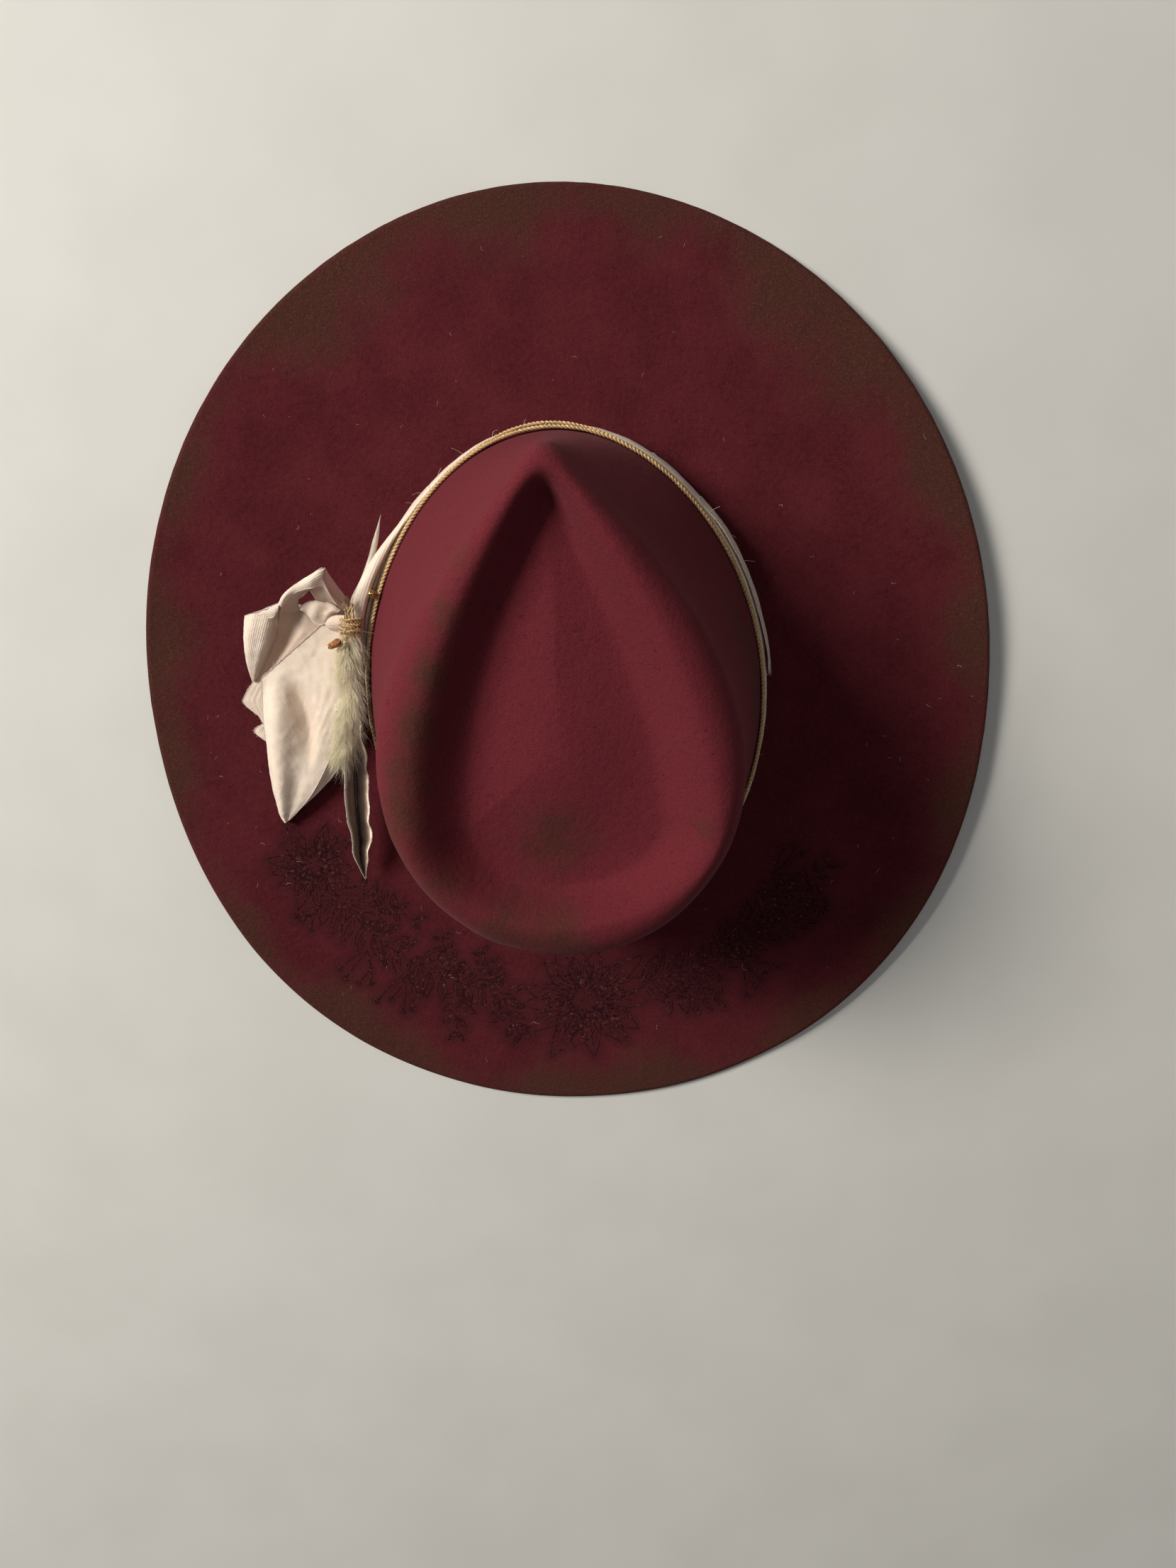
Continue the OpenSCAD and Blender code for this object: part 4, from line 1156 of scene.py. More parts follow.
def seed_bud():
    """A dry bud of overlapping scales."""
    s = Shader("dried_bud", rough=0.62, specular=0.3)
    grain = s.noise(1.0, 4, 0.65)
    s.colour(s.ramp(grain, (0.3, (0.16, 0.055, 0.018)), (0.55, (0.42, 0.17, 0.05)),
                    (0.75, (0.66, 0.38, 0.16))))
    s.bump((grain, 0.18), (s.noise(0.35, 3, 0.6), 0.06))
    centre = np.array([89, -28.4, 34.2])
    along = unit(np.array([0.9, 0.35, 0.1]))
    side, up = cross_axes(along)
    points, faces = [], []
    rng = np.random.default_rng(87)
    for k in range(11):
        turn = k * 2.4
        start = -2.4 + 0.32 * k
        rows, cols = 9, 7
        v, w = np.meshgrid(np.linspace(0, 1, rows), np.linspace(-1, 1, cols), indexing="ij")
        half = 0.95 * np.sin(np.pi * (0.12 + 0.83 * v)) ** 0.8
        radius = 0.45 + 1.25 * np.sin(np.pi * np.clip(0.1 + 0.75 * v, 0,
                                                      1)) * (1 - 0.045 * k) + 0.12 * (1 - w * w)
        a = turn + w * half * 1.1
        h = start + 3.2 * v + rng.uniform(-0.1, 0.1)
        grid = (centre + h[..., None] * along + (radius * np.cos(a))[..., None] * side
                + (radius * np.sin(a))[..., None] * up)
        n = normals_of(grid)
        both = np.concatenate([(grid + 0.07 * n).reshape(-1, 3), (grid - 0.07 * n).reshape(-1, 3)])
        base = sum(len(q) for q in points)
        points.append(both)
        size = rows * cols
        loop = rim_loop(rows, cols)
        ahead = np.roll(loop, -1)
        faces += grid_faces(rows, cols, first=base).tolist()
        faces += grid_faces(rows, cols, first=base + size)[:, ::-1].tolist()
        faces += np.stack([base + loop, base + size + loop, base + size + ahead, base + ahead], -1).tolist()
    obj = make_mesh("bud", np.concatenate(points), faces, s.material)
    return place(obj, "trim", "dried_bud", "dried_bud")


def quill_material():
    stops = ((0.3, (0.33, 0.27, 0.22)), (0.55, (0.58, 0.50, 0.41)), (0.8, (0.78, 0.71, 0.60)))
    return grained("quill", 0.42, 0.45, 1.6, stops, 0.08, 4, 0.6, (1, 0.2, 1))


def quill():
    """The bare end of the feather's shaft, cut to a slanting point."""
    s = np.linspace(0, 1, 70)
    path = through([(70, -76.5, 10.5), (72.8, -68.5, 9.5), (75.4, -61.5, 9.2), (79.6, -52, 11), (84, -42, 20),
                    (84.2, -34, 25), (85.2, -22, 23)], s)
    width = 1.25 * smooth(-0.02, 0.22, s) * mix(1, 0.72, s) + 0.06
    obj = tubes("quill", path[None], width[None], quill_material(), sides=16)
    return place(obj, "trim", "quill", "feather_quill")


def feather_material():
    s = Shader("feather", rough=0.62, sheen=0.0, specular=0.22)
    out = s.math("ADD", s.given("out"),
                 s.math("MULTIPLY", s.math("SUBTRACT", s.noise(2.2, 3, 0.6), 0.5), 0.16))
    dark = s.ramp(out, (0.0, (0.022, 0.009, 0.006)), (0.50, (0.030, 0.012, 0.008)),
                  (0.66, (0.11, 0.062, 0.042)),
                  (0.82, (0.34, 0.24, 0.175)), (0.90, (0.88, 0.79, 0.65)))
    pale = s.ramp(out, (0.0, (0.022, 0.009, 0.006)), (0.14, (0.040, 0.020, 0.014)),
                  (0.28, (0.25, 0.175, 0.13)),
                  (0.80, (0.36, 0.27, 0.21)), (0.90, (0.95, 0.86, 0.74)))
    s.colour(s.blend(s.given("side"), dark, pale))
    s.bump((s.noise(0.3, 3, 0.6), 0.03))
    return s.material


VANE_MID = [(90.5, 2, 15), (91.5, 13.5, 13.5), (92.5, 25.5, 13), (93.5, 33.5, 12.5), (95, 50, 11.5),
            (95.5, 59.5, 11),
            (96.3, 71, 10.5), (95.8, 75.5, 10), (95.2, 79.3, 10)]
VANE_LEFT = [(93.5, 2, 17.5), (94.8, 15, 17), (96, 24, 17.5), (97.2, 32, 17.5), (98.4, 48.5, 16.5),
             (97.8, 58, 15.5),
             (98, 69.5, 13.5), (96.7, 74.5, 12), (95.3, 79.3, 10.5)]
VANE_RIGHT = [(87.5, 2, 16.5), (87.5, 13, 16.5), (86.6, 22.5, 17), (87, 31, 17), (88, 43, 16.5),
              (89, 51.5, 15.5),
              (89, 58.5, 15), (92.4, 68.5, 13), (94.8, 79, 10.5)]


def vane_point(t, u, edge, wave):
    """A point between the shaft (u = 0) and an edge (u = 1); the vane is curled up like a gutter."""
    a, b = through(VANE_MID, t), through(edge, t)
    q = mix(a, b, u[:, None])
    q[:, 2] = mix(a[:, 2], b[:, 2], u ** 1.9) + wave * u ** 3 * np.sin(t * 46 + 2 * np.sin(t * 17))
    q[:, 0] += 0.35 * wave * u ** 3 * np.cos(t * 39)
    return q


def feather():
    """Each side of the vane is a row of overlapping barbs that lean towards the tip."""
    rng = np.random.default_rng(91)
    count, steps = 640, 8
    u = np.linspace(0, 1, steps)
    paths, outs, sides = [], [], []
    for edge, wave, side in ((VANE_LEFT, 0.35, 1.0), (VANE_RIGHT, 0.9, 0.0)):
        split = 0.012 * np.sin(np.arange(count) * 0.045) + 0.006 * np.sin(np.arange(count) * 0.21)
        t0 = np.linspace(0, 0.985, count) + rng.normal(0, 0.0006, count)
        reach = 1 + 0.012 * rng.normal(0, 1, count)
        for k in range(steps):
            t = np.clip(t0 + (0.085 + split) * u[k] ** 1.2 * (1 - t0 * 0.75), 0, 1)
            paths.append(vane_point(t, np.full(count, u[k]) * np.where(u[k] == 1, reach, 1), edge, wave))
        outs.append(np.broadcast_to(u, (count, steps)))
        sides.append(np.full((count, steps), side))
    paths = np.array(paths).reshape(2, steps, count, 3).transpose(0, 2, 1, 3).reshape(2 * count, steps, 3)
    radii = np.array([0.17, 0.17, 0.165, 0.16, 0.155, 0.15, 0.13, 0.07])[None]
    obj = tubes("feather", paths, radii, feather_material(), sides=4,
                given={"out": np.concatenate(outs), "side": np.concatenate(sides)})
    return place(obj, "trim", "feather", "feather_vane")


def rachis():
    """The shaft inside the vane, thinning to its tip."""
    s = np.linspace(0, 1, 60)
    path = through([(84.8, -24, 22.6), (87.5, -12, 18.5)] + VANE_MID, s)
    path[:, 2] += 0.25
    obj = tubes("rachis", path[None], (0.75 * (1 - 0.85 * s))[None], feather_dark(), sides=10)
    return place(obj, "trim", "quill")


def feather_dark():
    return grained("shaft_dark", 0.4, 0.45, 1.4, ((0.3, (0.045, 0.02, 0.012)), (0.7, (0.14, 0.08, 0.05))),
                   0.05)


plume()
plume_wisps()
stems()
seed_bud()
quill()
feather()
rachis()


# ---------- the drawing burnt into the brim ----------
def on_brim(x, y, lift):
    """Points a little above the brim's upper surface, over the places (x, y)."""
    x, y = np.asarray(x, float), np.asarray(y, float)
    t = np.full(x.shape, 0.4)
    for _ in range(6):
        wide = mix(HEAD_HALF_WID + BREAK_R, BRIM_HALF_WID, t)
        long = mix(HEAD_HALF_LEN + BREAK_R, BRIM_HALF_LEN, t)
        p = np.degrees(np.arctan2(x / wide, -y / long))
        a, b = base_ring(p, BREAK_R), brim_ring(p)
        reach = np.linalg.norm(b - a, axis=-1)
        t = np.clip(np.sum((np.stack([x, y], -1) - a) * (b - a), -1) / reach ** 2, 0.01, 0.98)
    q = felt(p, 5 + t)
    return q + (handling(p, 5 + t, q) + lift)[..., None] * outward(p, 5 + t)


class Drawing:
    """Strokes over the brim, each a row of points with a width."""

    def __init__(self, seed):
        self.rng = np.random.default_rng(seed)
        self.strokes = []

    def stroke(self, points, width=0.5, wobble=0.22):
        s = np.linspace(0, 1, 14)
        q = through([(x, y, 0) for x, y in points], s)[:, :2]
        q = q + self.rng.normal(0, wobble * 0.35, q.shape) + self.rng.normal(0, wobble * 0.5, (1, 2))
        self.strokes.append((q, width * self.rng.uniform(0.75, 1.3)))

    def outline(self, x, y, angle, length, width, veins=3):
        """A pointed petal or leaf that starts at (x, y)."""
        a = math.radians(angle)
        ahead, side = np.array([math.cos(a), math.sin(a)]), np.array([-math.sin(a), math.cos(a)])
        at = np.array([x, y])
        bend = self.rng.normal(0, 0.08) * length
        tip = at + length * ahead + bend * side
        for sign in (-1, 1):
            belly = at + 0.42 * length * ahead + (sign * width / 2 + 0.4 * bend) * side
            near_tip = at + 0.78 * length * ahead + (sign * width * 0.3 + 0.8 * bend) * side
            self.stroke([at + sign * 0.3 * side, belly, near_tip, tip], 0.62)
        for k in range(veins):
            off = (k - (veins - 1) / 2) * width * 0.24
            start = at + self.rng.uniform(0.08, 0.2) * length * ahead
            end = at + self.rng.uniform(0.55, 0.85) * length * ahead + (off + 0.7 * bend) * side
            self.stroke([start, mix(start, end, 0.5) + off * 0.5 * side, end], 0.42)

    def flower(self, x, y, radius, petals, squash=1.0, turn=0.0):
        """Two layers of pointed petals round a dotted middle."""
        for size, extra in ((1.0, 0.0), (0.66, 0.5)):
            for k in range(petals):
                angle = turn + (k + extra) * 360 / petals + self.rng.normal(0, 4)
                reach = size * radius * self.rng.uniform(0.82, 1.12)
                reach *= mix(squash, 1, abs(math.cos(math.radians(angle))))
                start = 0.16 * radius
                a = math.radians(angle)
                self.outline(x + start * math.cos(a), y + start * math.sin(a), angle, reach - start,
                             0.27 * radius, 3)
        for k in range(26):
            a, r = self.rng.uniform(0, 2 * math.pi), radius * self.rng.uniform(0.02, 0.2)
            b = a + self.rng.uniform(-0.6, 0.6)
            q = (x + r * math.cos(a), y + r * math.sin(a))
            self.stroke([q, (q[0] + 1.0 * math.cos(b), q[1] + 1.0 * math.sin(b))], 0.5, 0.05)

    def leafy(self, path, count, length, width, spread=52, stem=0.5):
        """A stem with pairs of leaves that grow shorter towards its tip."""
        s = np.linspace(0, 1, 40)
        q = through([(x, y, 0) for x, y in path], s)[:, :2]
        for k in range(0, 39, 3):
            self.stroke([q[k], q[min(k + 2, 39)], q[min(k + 4, 39)]], stem, 0.05)
        for k in range(count):
            i = int(mix(1, 37, k / max(1, count - 1)))
            way = math.degrees(math.atan2(*(q[min(i + 1, 39)] - q[i - 1])[::-1]))
            size = mix(1.0, 0.5, k / count)
            for sign in (-1, 1):
                self.outline(q[i][0], q[i][1], way + sign * (spread + self.rng.normal(0, 7)), length * size,
                             width * size, 2)

    def berries(self, x, y, angle, reach, count):
        """A spray of thin stalks that end in small rings."""
        for k in range(count):
            a = math.radians(angle + (k - (count - 1) / 2) * 17 + self.rng.normal(0, 5))
            r = reach * self.rng.uniform(0.7, 1.1)
            end = np.array([x + r * math.cos(a), y + r * math.sin(a)])
            middle = mix(np.array([x, y]), end, 0.55) + self.rng.normal(0, 1.0, 2)
            self.stroke([(x, y), middle, end], 0.5)
            ring = np.linspace(0, 2 * math.pi, 9)
            self.stroke([end + 1.1 * np.array([math.cos(b), math.sin(b)]) for b in ring], 0.7, 0.03)
            self.stroke([end + [-0.4, 0], end + [0.4, 0.2]], 0.7, 0.03)


def garland():
    """A generic garland of daisies, leaves, berries and a fern, from the left of the crown round its back."""
    d = Drawing(101)
    d.flower(119, 73, 21, 13, turn=8)
    d.leafy([(112, 86), (104, 99), (92, 113), (79, 124)], 8, 17, 6.0)
    d.leafy([(86, 98), (92, 90), (98, 84)], 4, 8, 3.4)
    d.leafy([(96, 108), (90, 96), (80, 101), (76, 104)], 4, 9, 3.6)
    d.berries(100, 116, 62, 17, 5)
    d.berries(84, 128, 88, 18, 6)
    d.berries(118, 92, 40, 12, 4)
    d.leafy([(79, 124), (66, 132), (52, 138), (36, 143)], 8, 15, 5.2)
    d.leafy([(60, 132), (64, 122), (66, 112)], 4, 8, 3.2)
    d.leafy([(44, 138), (46, 128), (48, 121)], 4, 8, 3.2)
    d.leafy([(58, 138), (62, 150), (64, 160)], 4, 10, 3.6)
    d.leafy([(40, 144), (38, 156), (34, 164)], 4, 10, 3.6)
    d.flower(3, 147, 33, 15, squash=0.86, turn=5)
    d.leafy([(-22, 140), (-38, 138), (-54, 133), (-70, 124)], 9, 17, 5.6)
    d.leafy([(-34, 146), (-46, 150), (-58, 151)], 5, 11, 3.8)
    d.leafy([(-60, 130), (-74, 118), (-84, 104), (-90, 92)], 10, 15, 4.6)
    d.leafy([(-76, 118), (-90, 116), (-104, 110)], 6, 11, 3.8)
    d.leafy([(-84, 104), (-98, 98), (-110, 88)], 6, 10, 3.4)
    d.berries(-70, 132, 130, 17, 5)
    d.berries(-96, 104, 165, 13, 4)
    d.berries(-88, 90, 230, 12, 4)
    return d


def burnt_line():
    s = Shader("burnt_line", rough=0.9, specular=0.06)
    char_and_glint = s.noise(1.6, 4, 0.7)
    fleck = s.noise(0.5, 3, 0.7)
    # The ramp runs from black char to brown; its lightest brown flecks are partly less-charred felt and
    # partly a painted highlight standing in for the lines' glossy copper glints.
    tone = s.ramp(char_and_glint, (0.34, (0.013, 0.0030, 0.0045)), (0.52, (0.028, 0.0070, 0.0085)),
                  (0.62, (0.095, 0.030, 0.020)),
                  (0.74, (0.28, 0.125, 0.065)))
    s.colour(s.blend(s.spread(fleck, 0.52, 0.66, 0.0, 0.35), tone, (0.055, 0.012, 0.018)))
    s.bump((char_and_glint, 0.12), (fleck, 0.05))
    return s.material


def burn_in(d):
    """Each stroke becomes a narrow ridge of charred felt that sits in the nap."""
    points, faces = [], []
    total = 0
    for q, width in d.strokes:
        way = unit(np.gradient(q, axis=0))
        side = np.stack([-way[:, 1], way[:, 0]], -1)
        n = len(q)
        taper = width / 2 * np.minimum(1, 0.25 + 2.2 * np.sin(np.pi * np.linspace(0.06, 0.94, n)))
        rows = []
        for across, up in ((-1, -0.12), (-0.55, 0.07), (0.0, 0.12), (0.55, 0.07), (1, -0.12)):
            spot = q + (across * taper)[:, None] * side
            rows.append(on_brim(spot[:, 0], spot[:, 1], up))
        points.append(np.array(rows).transpose(1, 0, 2).reshape(-1, 3))
        faces.append(grid_faces(n, 5, first=total)[:, ::-1])
        total += n * 5
    obj = make_mesh("garland", np.concatenate(points), np.concatenate(faces), burnt_line())
    return place(obj, "hat", "wool_felt")


def warm_the_felt(d):
    """Darkens the felt near the strokes, as the hot iron did."""
    tree = KDTree(sum(len(q) for q, _ in d.strokes))
    k = 0
    for q, _ in d.strokes:
        for x, y in q:
            tree.insert((x, y, 0), k)
            k += 1
    tree.balance()
    mesh = FELT_OBJ.data
    burn = mesh.attributes["burn"].data
    for i, vertex in enumerate(mesh.vertices):
        x, y, z = vertex.co / MM
        if z < 14 and y > 30:
            near = tree.find((x, y, 0))[2]
            burn[i].value = 0.6 * math.exp(-(near / 2.7) ** 2)


GARLAND = garland()
burn_in(GARLAND)
warm_the_felt(GARLAND)


def lint():
    """Pale hairs and specks of lint on the felt."""
    rng = np.random.default_rng(111)
    n = 70
    angle, r = rng.uniform(0, 2 * np.pi, n), rng.uniform(0.62, 0.97, n)
    x, y = BRIM_HALF_WID * r * np.sin(angle), BRIM_HALF_LEN * r * np.cos(angle)
    way = rng.uniform(0, 2 * np.pi, n)
    curl = rng.normal(0, 0.5, n)
    length = rng.uniform(0.6, 2.6, n) * (1 + 1.5 * (rng.random(n) > 0.93))
    s = np.linspace(0, 1, 7)
    a = way[:, None] + curl[:, None] * s[None] * 2
    px = x[:, None] + length[:, None] * s[None] * np.cos(a)
    py = y[:, None] + length[:, None] * s[None] * np.sin(a)
    inside = (px / 92) ** 2 + (py / 115) ** 2 < 1
    px, py = np.where(inside, px * 1.3, px), np.where(inside, py * 1.3, py)
    paths = on_brim(px, py, 0.12 + 0 * px)
    obj = tubes("lint", paths, 0.045 * np.linspace(1, 0.5, 7)[None], THREAD)
    return place(obj, "hat", "wool_felt")


# ---------- inside the crown ----------
LINING_DEPTH = FELT_T + 0.7
LINING_T = 0.4
SWEAT_DEPTH = LINING_DEPTH + LINING_T + 0.25
SWEAT_T = 0.9
SWEAT_H = 42
SWEAT_LOW = 2
LINING_TOP = 88


def sleeve(p, z, depth):
    """A point inside the crown's wall; below the break the sleeve hangs straight down."""
    q = wall(p, np.maximum(z, BASE_Z), -depth)
    q[..., 2] = z
    return q


def sweat_leather():
    s = Shader("sweat_leather", rough=0.5, specular=0.4, coat=0.08)
    pores = s.node("TexVoronoi", feature="DISTANCE_TO_EDGE")
    s.join(s.place, pores.inputs["Vector"])
    pores.inputs["Scale"].default_value = 1 / (0.8 * MM)
    cloud = s.noise(20, 4, 0.6)
    fine = s.noise(1.0, 4, 0.65)
    tone = s.blend(s.spread(cloud, 0.3, 0.7), (0.13, 0.052, 0.024), (0.24, 0.105, 0.05))
    tone = s.blend(s.spread(fine, 0.5, 0.75, 0.0, 0.3), tone, (0.34, 0.17, 0.085))
    s.colour(tone)
    s.rough(s.spread(cloud, 0.3, 0.7, 0.42, 0.6))
    s.bump((cloud, 0.5), (pores.outputs["Distance"], 0.12), (fine, 0.06))
    return s.material


def satin():
    s = Shader("satin", rough=0.28, sheen=0.1, specular=0.55)
    weave = s.noise(0.35, 3, 0.6, stretch=(1, 1, 0.1))
    cloud = s.noise(14, 3, 0.6)
    s.colour(s.blend(s.spread(cloud, 0.3, 0.7), (0.040, 0.014, 0.018), (0.085, 0.032, 0.036)))
    s.rough(s.spread(cloud, 0.3, 0.7, 0.24, 0.38))
    s.bump((cloud, 0.6), (weave, 0.03))
    return s.material


def tube_ring(name, path, radius, material, sides=8):
    """A closed tube round a ring of points."""
    x, y = cross_axes(unit(np.roll(path, -1, 0) - np.roll(path, 1, 0)))
    a = np.linspace(0, 2 * np.pi, sides, endpoint=False)
    points = path[:, None] + radius * (np.cos(a)[:, None] * x[:, None] + np.sin(a)[:, None] * y[:, None])
    faces = grid_faces(len(path), sides, wrap_rows=True, wrap_cols=True)
    return make_mesh(name, points.reshape(-1, 3), faces, material)


def sleeve_mesh(name, profile, material, steps=360, ripple=None):
    """A closed sleeve; profile is a ring of (depth, height)."""
    p = np.linspace(0, 360, steps, endpoint=False)
    pp, depth = np.meshgrid(p, [d for d, _ in profile], indexing="ij")
    z = np.broadcast_to(np.array([h for _, h in profile], float), pp.shape)
    if ripple is not None:
        depth = depth + ripple(pp, z)
    faces = grid_faces(steps, len(profile), wrap_rows=True, wrap_cols=True)
    return make_mesh(name, sleeve(pp, z, depth).reshape(-1, 3), faces, material)


def sweatband():
    """The leather strip inside the head opening, a little wavy round its upper edge."""
    inner, outer = SWEAT_DEPTH + SWEAT_T, SWEAT_DEPTH
    middle, tall = 0.5 * (inner + outer), SWEAT_H - SWEAT_LOW
    heights = np.linspace(SWEAT_LOW + 0.4, SWEAT_H - 0.4, 16)
    profile = [(outer, h) for h in heights]
    profile += [(outer + 0.2, SWEAT_H - 0.1), (middle, SWEAT_H), (inner - 0.2, SWEAT_H - 0.1)]
    profile += [(inner - 0.12 * math.sin(math.pi * (h - SWEAT_LOW) / tall), h) for h in heights[::-1]]
    profile += [(inner - 0.2, SWEAT_LOW + 0.1), (middle, SWEAT_LOW), (outer + 0.2, SWEAT_LOW + 0.1)]

    def soft(p, z):
        return 0.10 * np.sin(np.radians(p * 9)) * smooth(10, 38, z) * 0.8

    obj = sleeve_mesh("sweatband_leather", profile, sweat_leather(), ripple=soft)
    return place(obj, "hat", "sweat_leather", "sweatband")


def stitches():
    """Waxed thread just above the leather's lower edge: each stitch dips into the leather at both ends."""
    thread = grained("wax_thread", 0.5, 0.4, 0.5, ((0.3, (0.40, 0.28, 0.15)), (0.7, (0.74, 0.60, 0.40))),
                     0.06)
    count = 48
    paths = []
    for k in range(count):
        t = np.linspace(-1, 1, 11)
        p = (k + 0.5) * 360 / count + t * 1.75
        sink = 0.55 * np.abs(t) ** 5
        paths.append(sleeve(p, np.full(11, SWEAT_LOW + 3.0), SWEAT_DEPTH + SWEAT_T + 0.28 - sink))
    obj = tubes("stitch_row", np.array(paths), 0.27, thread, sides=8)
    return place(obj, "hat", "thread", "sweatband_stitches")


def reed():
    """The cord sewn into the leather's lower edge."""
    cord = grained("reed_cord", 0.7, 0.3, 0.9, ((0.3, (0.36, 0.28, 0.19)), (0.7, (0.62, 0.53, 0.41))), 0.1)
    p = np.linspace(0, 360, 360, endpoint=False)
    path = sleeve(p, np.full(360, SWEAT_LOW + 1.2), SWEAT_DEPTH - 0.65)
    return place(tube_ring("reed", path, 0.5, cord), "hat", "reed_cord", "sweatband_reed")


def lining():
    """The satin's side and tip, and the piping where they meet."""
    cloth = satin()
    heights = np.linspace(SWEAT_H - 10, LINING_TOP, 26)
    profile = [(LINING_DEPTH, h) for h in heights] + [(LINING_DEPTH + LINING_T, h) for h in heights[::-1]]

    def soft(p, z):
        return 0.16 * np.sin(np.radians(p * 24)) * np.sin(np.radians(p * 5 + z * 3)) * smooth(42, 60, z)

    side = sleeve_mesh("satin_side", profile, cloth, ripple=soft)
    place(side, "hat", "satin", "lining_side")
    half, cols = 26, 240
    rim = wall(np.linspace(0, 360, cols, endpoint=False), LINING_TOP, -LINING_DEPTH - LINING_T - 1.1)
    rows = []
    levels = np.concatenate([np.linspace(0.02, 1, half), np.linspace(1, 0.02, half)])
    for k, t in enumerate(levels):
        drop = 0 if k < half else 0.5
        pucker = 0.25 * np.sin(np.arange(cols) * 2 * np.pi / 5) * smooth(0.7, 1.0, t)
        z = LINING_TOP - 2 + 3 * (1 - t * t) - drop + pucker * 0.5
        rows.append(np.stack([rim[:, 0] * t, mix(6, rim[:, 1], t), z], -1))
    tip = make_mesh("satin_tip", np.array(rows).reshape(-1, 3), capped(2 * half, cols), cloth)
    place(tip, "hat", "satin", "lining_tip")
    p = np.linspace(0, 360, 300, endpoint=False)
    path = wall(p, LINING_TOP, -LINING_DEPTH - LINING_T - 0.55)
    path[:, 2] = LINING_TOP - 2.3
    cord = grained("satin_piping", 0.35, 0.5, 0.8, ((0.3, (0.10, 0.045, 0.04)), (0.7, (0.20, 0.11, 0.09))),
                   0.06)
    place(tube_ring("piping", path, 0.45, cord), "hat", "satin_piping", "lining_piping")


RIB_PITCH = 0.55


def ribbon_bow():
    """The small ribbed bow on the sweatband's back seam: two loops and a knot."""
    s = Shader("grosgrain", rough=0.62, sheen=0.15, specular=0.35)
    ribs = s.node("TexWave", wave_type="BANDS", bands_direction="X")
    s.join(s.place, ribs.inputs["Vector"])
    ribs.inputs["Scale"].default_value = WAVE_LENGTH / (RIB_PITCH * MM)
    ribs.inputs["Distortion"].default_value = 0.6
    tone = s.noise(3, 3, 0.6)
    s.colour(s.blend(s.spread(tone, 0.3, 0.7), (0.035, 0.010, 0.013), (0.085, 0.026, 0.030)))
    s.bump((ribs.outputs["Fac"], 0.12), (tone, 0.1))
    y0 = float(sleeve(180.0, np.array(12.0), SWEAT_DEPTH + SWEAT_T)[1]) - 1.6
    points, faces = [], []

    def strip(path, width, thick=0.3):
        path = np.asarray(path, float)
        d = unit(np.gradient(path, axis=0))
        across = np.tile([0, 0, 1.0], (len(path), 1))
        n = unit(np.cross(d, across))
        w = np.broadcast_to(width, len(path))[:, None] / 2
        ring = [path - w * across - n * thick / 2, path - w * across + n * thick / 2,
                path + n * (thick / 2 + 0.05), path + w * across + n * thick / 2,
                path + w * across - n * thick / 2,
                path - n * (thick / 2 - 0.05)]
        base = sum(len(q) for q in points)
        points.append(np.array(ring).transpose(1, 0, 2).reshape(-1, 3))
        faces.extend(grid_faces(len(path), 6, wrap_cols=True, first=base).tolist())
        faces.append([base + k for k in range(5, -1, -1)])
        faces.append([base + (len(path) - 1) * 6 + k for k in range(6)])

    a = np.linspace(0, np.pi, 24)
    for side in (-1, 1):
        x = side * (1.2 + 9 * np.sin(a) ** 0.9)
        strip(np.stack([x, y0 - 0.2 - 1.1 * np.cos(a), 12 + 0.5 * np.sin(a)], -1), 1.5 + 4.5 * np.sin(a))
    b = np.linspace(0, 2 * np.pi, 30)
    strip(np.stack([1.6 * np.sin(b), y0 - 0.2 + 1.75 * np.cos(b), np.full(30, 12.0)], -1)[:-1], 3.6)
    obj = make_mesh("ribbon_bow", np.concatenate(points), faces, s.material)
    return place(obj, "hat", "grosgrain", "sweatband_bow")


lint()
sweatband()
stitches()
reed()
lining()
ribbon_bow()


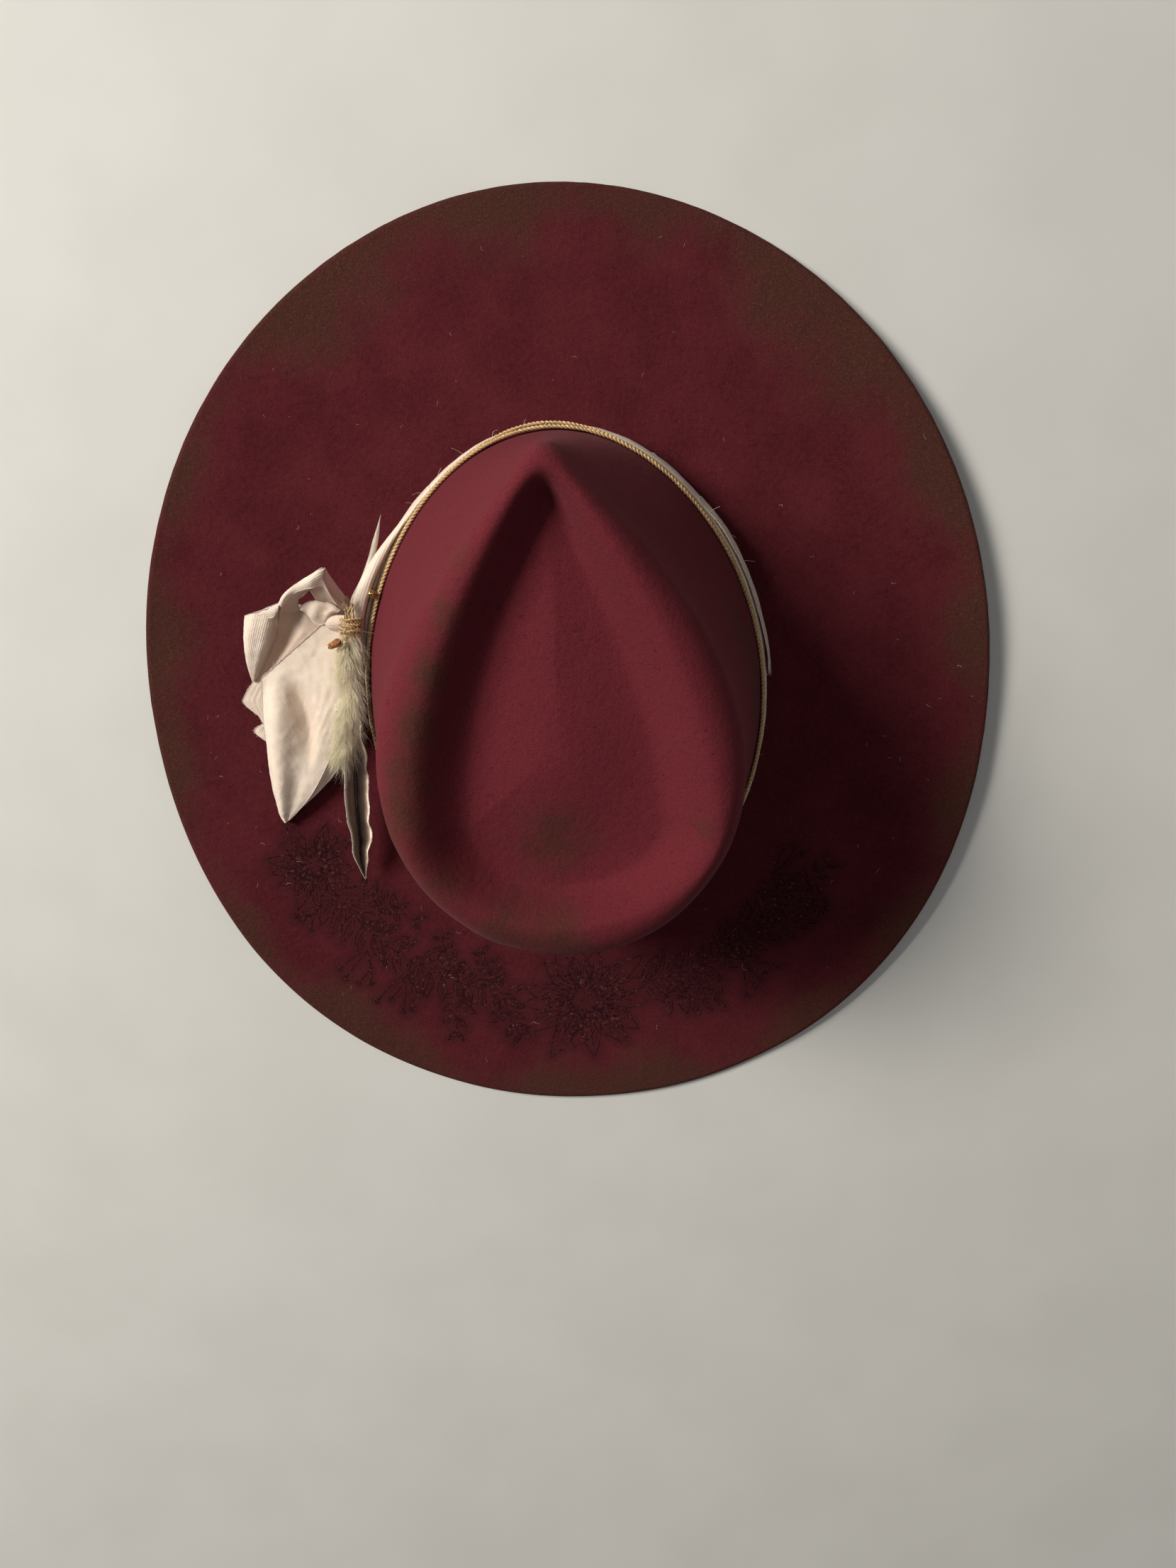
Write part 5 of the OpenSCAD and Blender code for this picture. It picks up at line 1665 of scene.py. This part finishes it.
# ---------- camera, light and table ----------
CAMERA_PLACE = (-23.7, -85.7, 501.7)
CAMERA_AIM = (-5.8, 45.4, 0)
CAMERA_UP = (-0.066, -0.965, -0.254)
CAMERA_LENS = 27.03


def look_at(place_mm, aim_mm, up):
    back = (Vector(place_mm) - Vector(aim_mm)).normalized()
    right = Vector(up).cross(back).normalized()
    turn = Matrix((right, back.cross(right), back)).transposed().to_4x4()
    turn.translation = Vector(place_mm) * MM
    return turn


def camera():
    data = bpy.data.cameras.new("camera")
    data.lens = CAMERA_LENS
    data.clip_start = 0.01
    obj = bpy.data.objects.new("camera", data)
    obj.matrix_world = look_at(CAMERA_PLACE, CAMERA_AIM, CAMERA_UP)
    bpy.context.scene.collection.objects.link(obj)
    bpy.context.scene.camera = obj


def lamp(name, place_mm, aim_mm, size, power, colour):
    data = bpy.data.lights.new(name, "AREA")
    data.size = size
    data.energy = power
    data.color = colour
    obj = bpy.data.objects.new(name, data)
    obj.matrix_world = look_at(place_mm, aim_mm, (0, 0.2, 1))
    bpy.context.scene.collection.objects.link(obj)


def studio():
    lamp("window", (1300, -860, 1200), (0, 0, 30), 0.7, 44, (1.0, 0.97, 0.92))
    lamp("sky", (-100, -500, 1900), (0, 0, 0), 1.6, 4.0, (0.97, 0.98, 1.0))
    lamp("bounce", (-1300, 700, 700), (0, 0, 30), 1.4, 0.8, (1.0, 0.98, 0.95))
    world = bpy.data.worlds.new("room")
    world.use_nodes = True
    world.node_tree.nodes["Background"].inputs["Color"].default_value = (0.93, 0.95, 1.0, 1)
    world.node_tree.nodes["Background"].inputs["Strength"].default_value = 0.085
    bpy.context.scene.world = world
    bpy.context.scene.view_settings.view_transform = "Standard"


def table():
    s = Shader("pale_table", rough=0.8, specular=0.2)
    s.colour(s.blend(s.spread(s.noise(60, 3, 0.5), 0.3, 0.7), (0.68, 0.66, 0.61), (0.71, 0.69, 0.64)))
    size = 3000
    points = [(-size, -size, -0.05), (size, -size, -0.05), (size, size, -0.05), (-size, size, -0.05)]
    obj = make_mesh("table", points, [[0, 1, 2, 3]], s.material)


camera()
studio()
table()
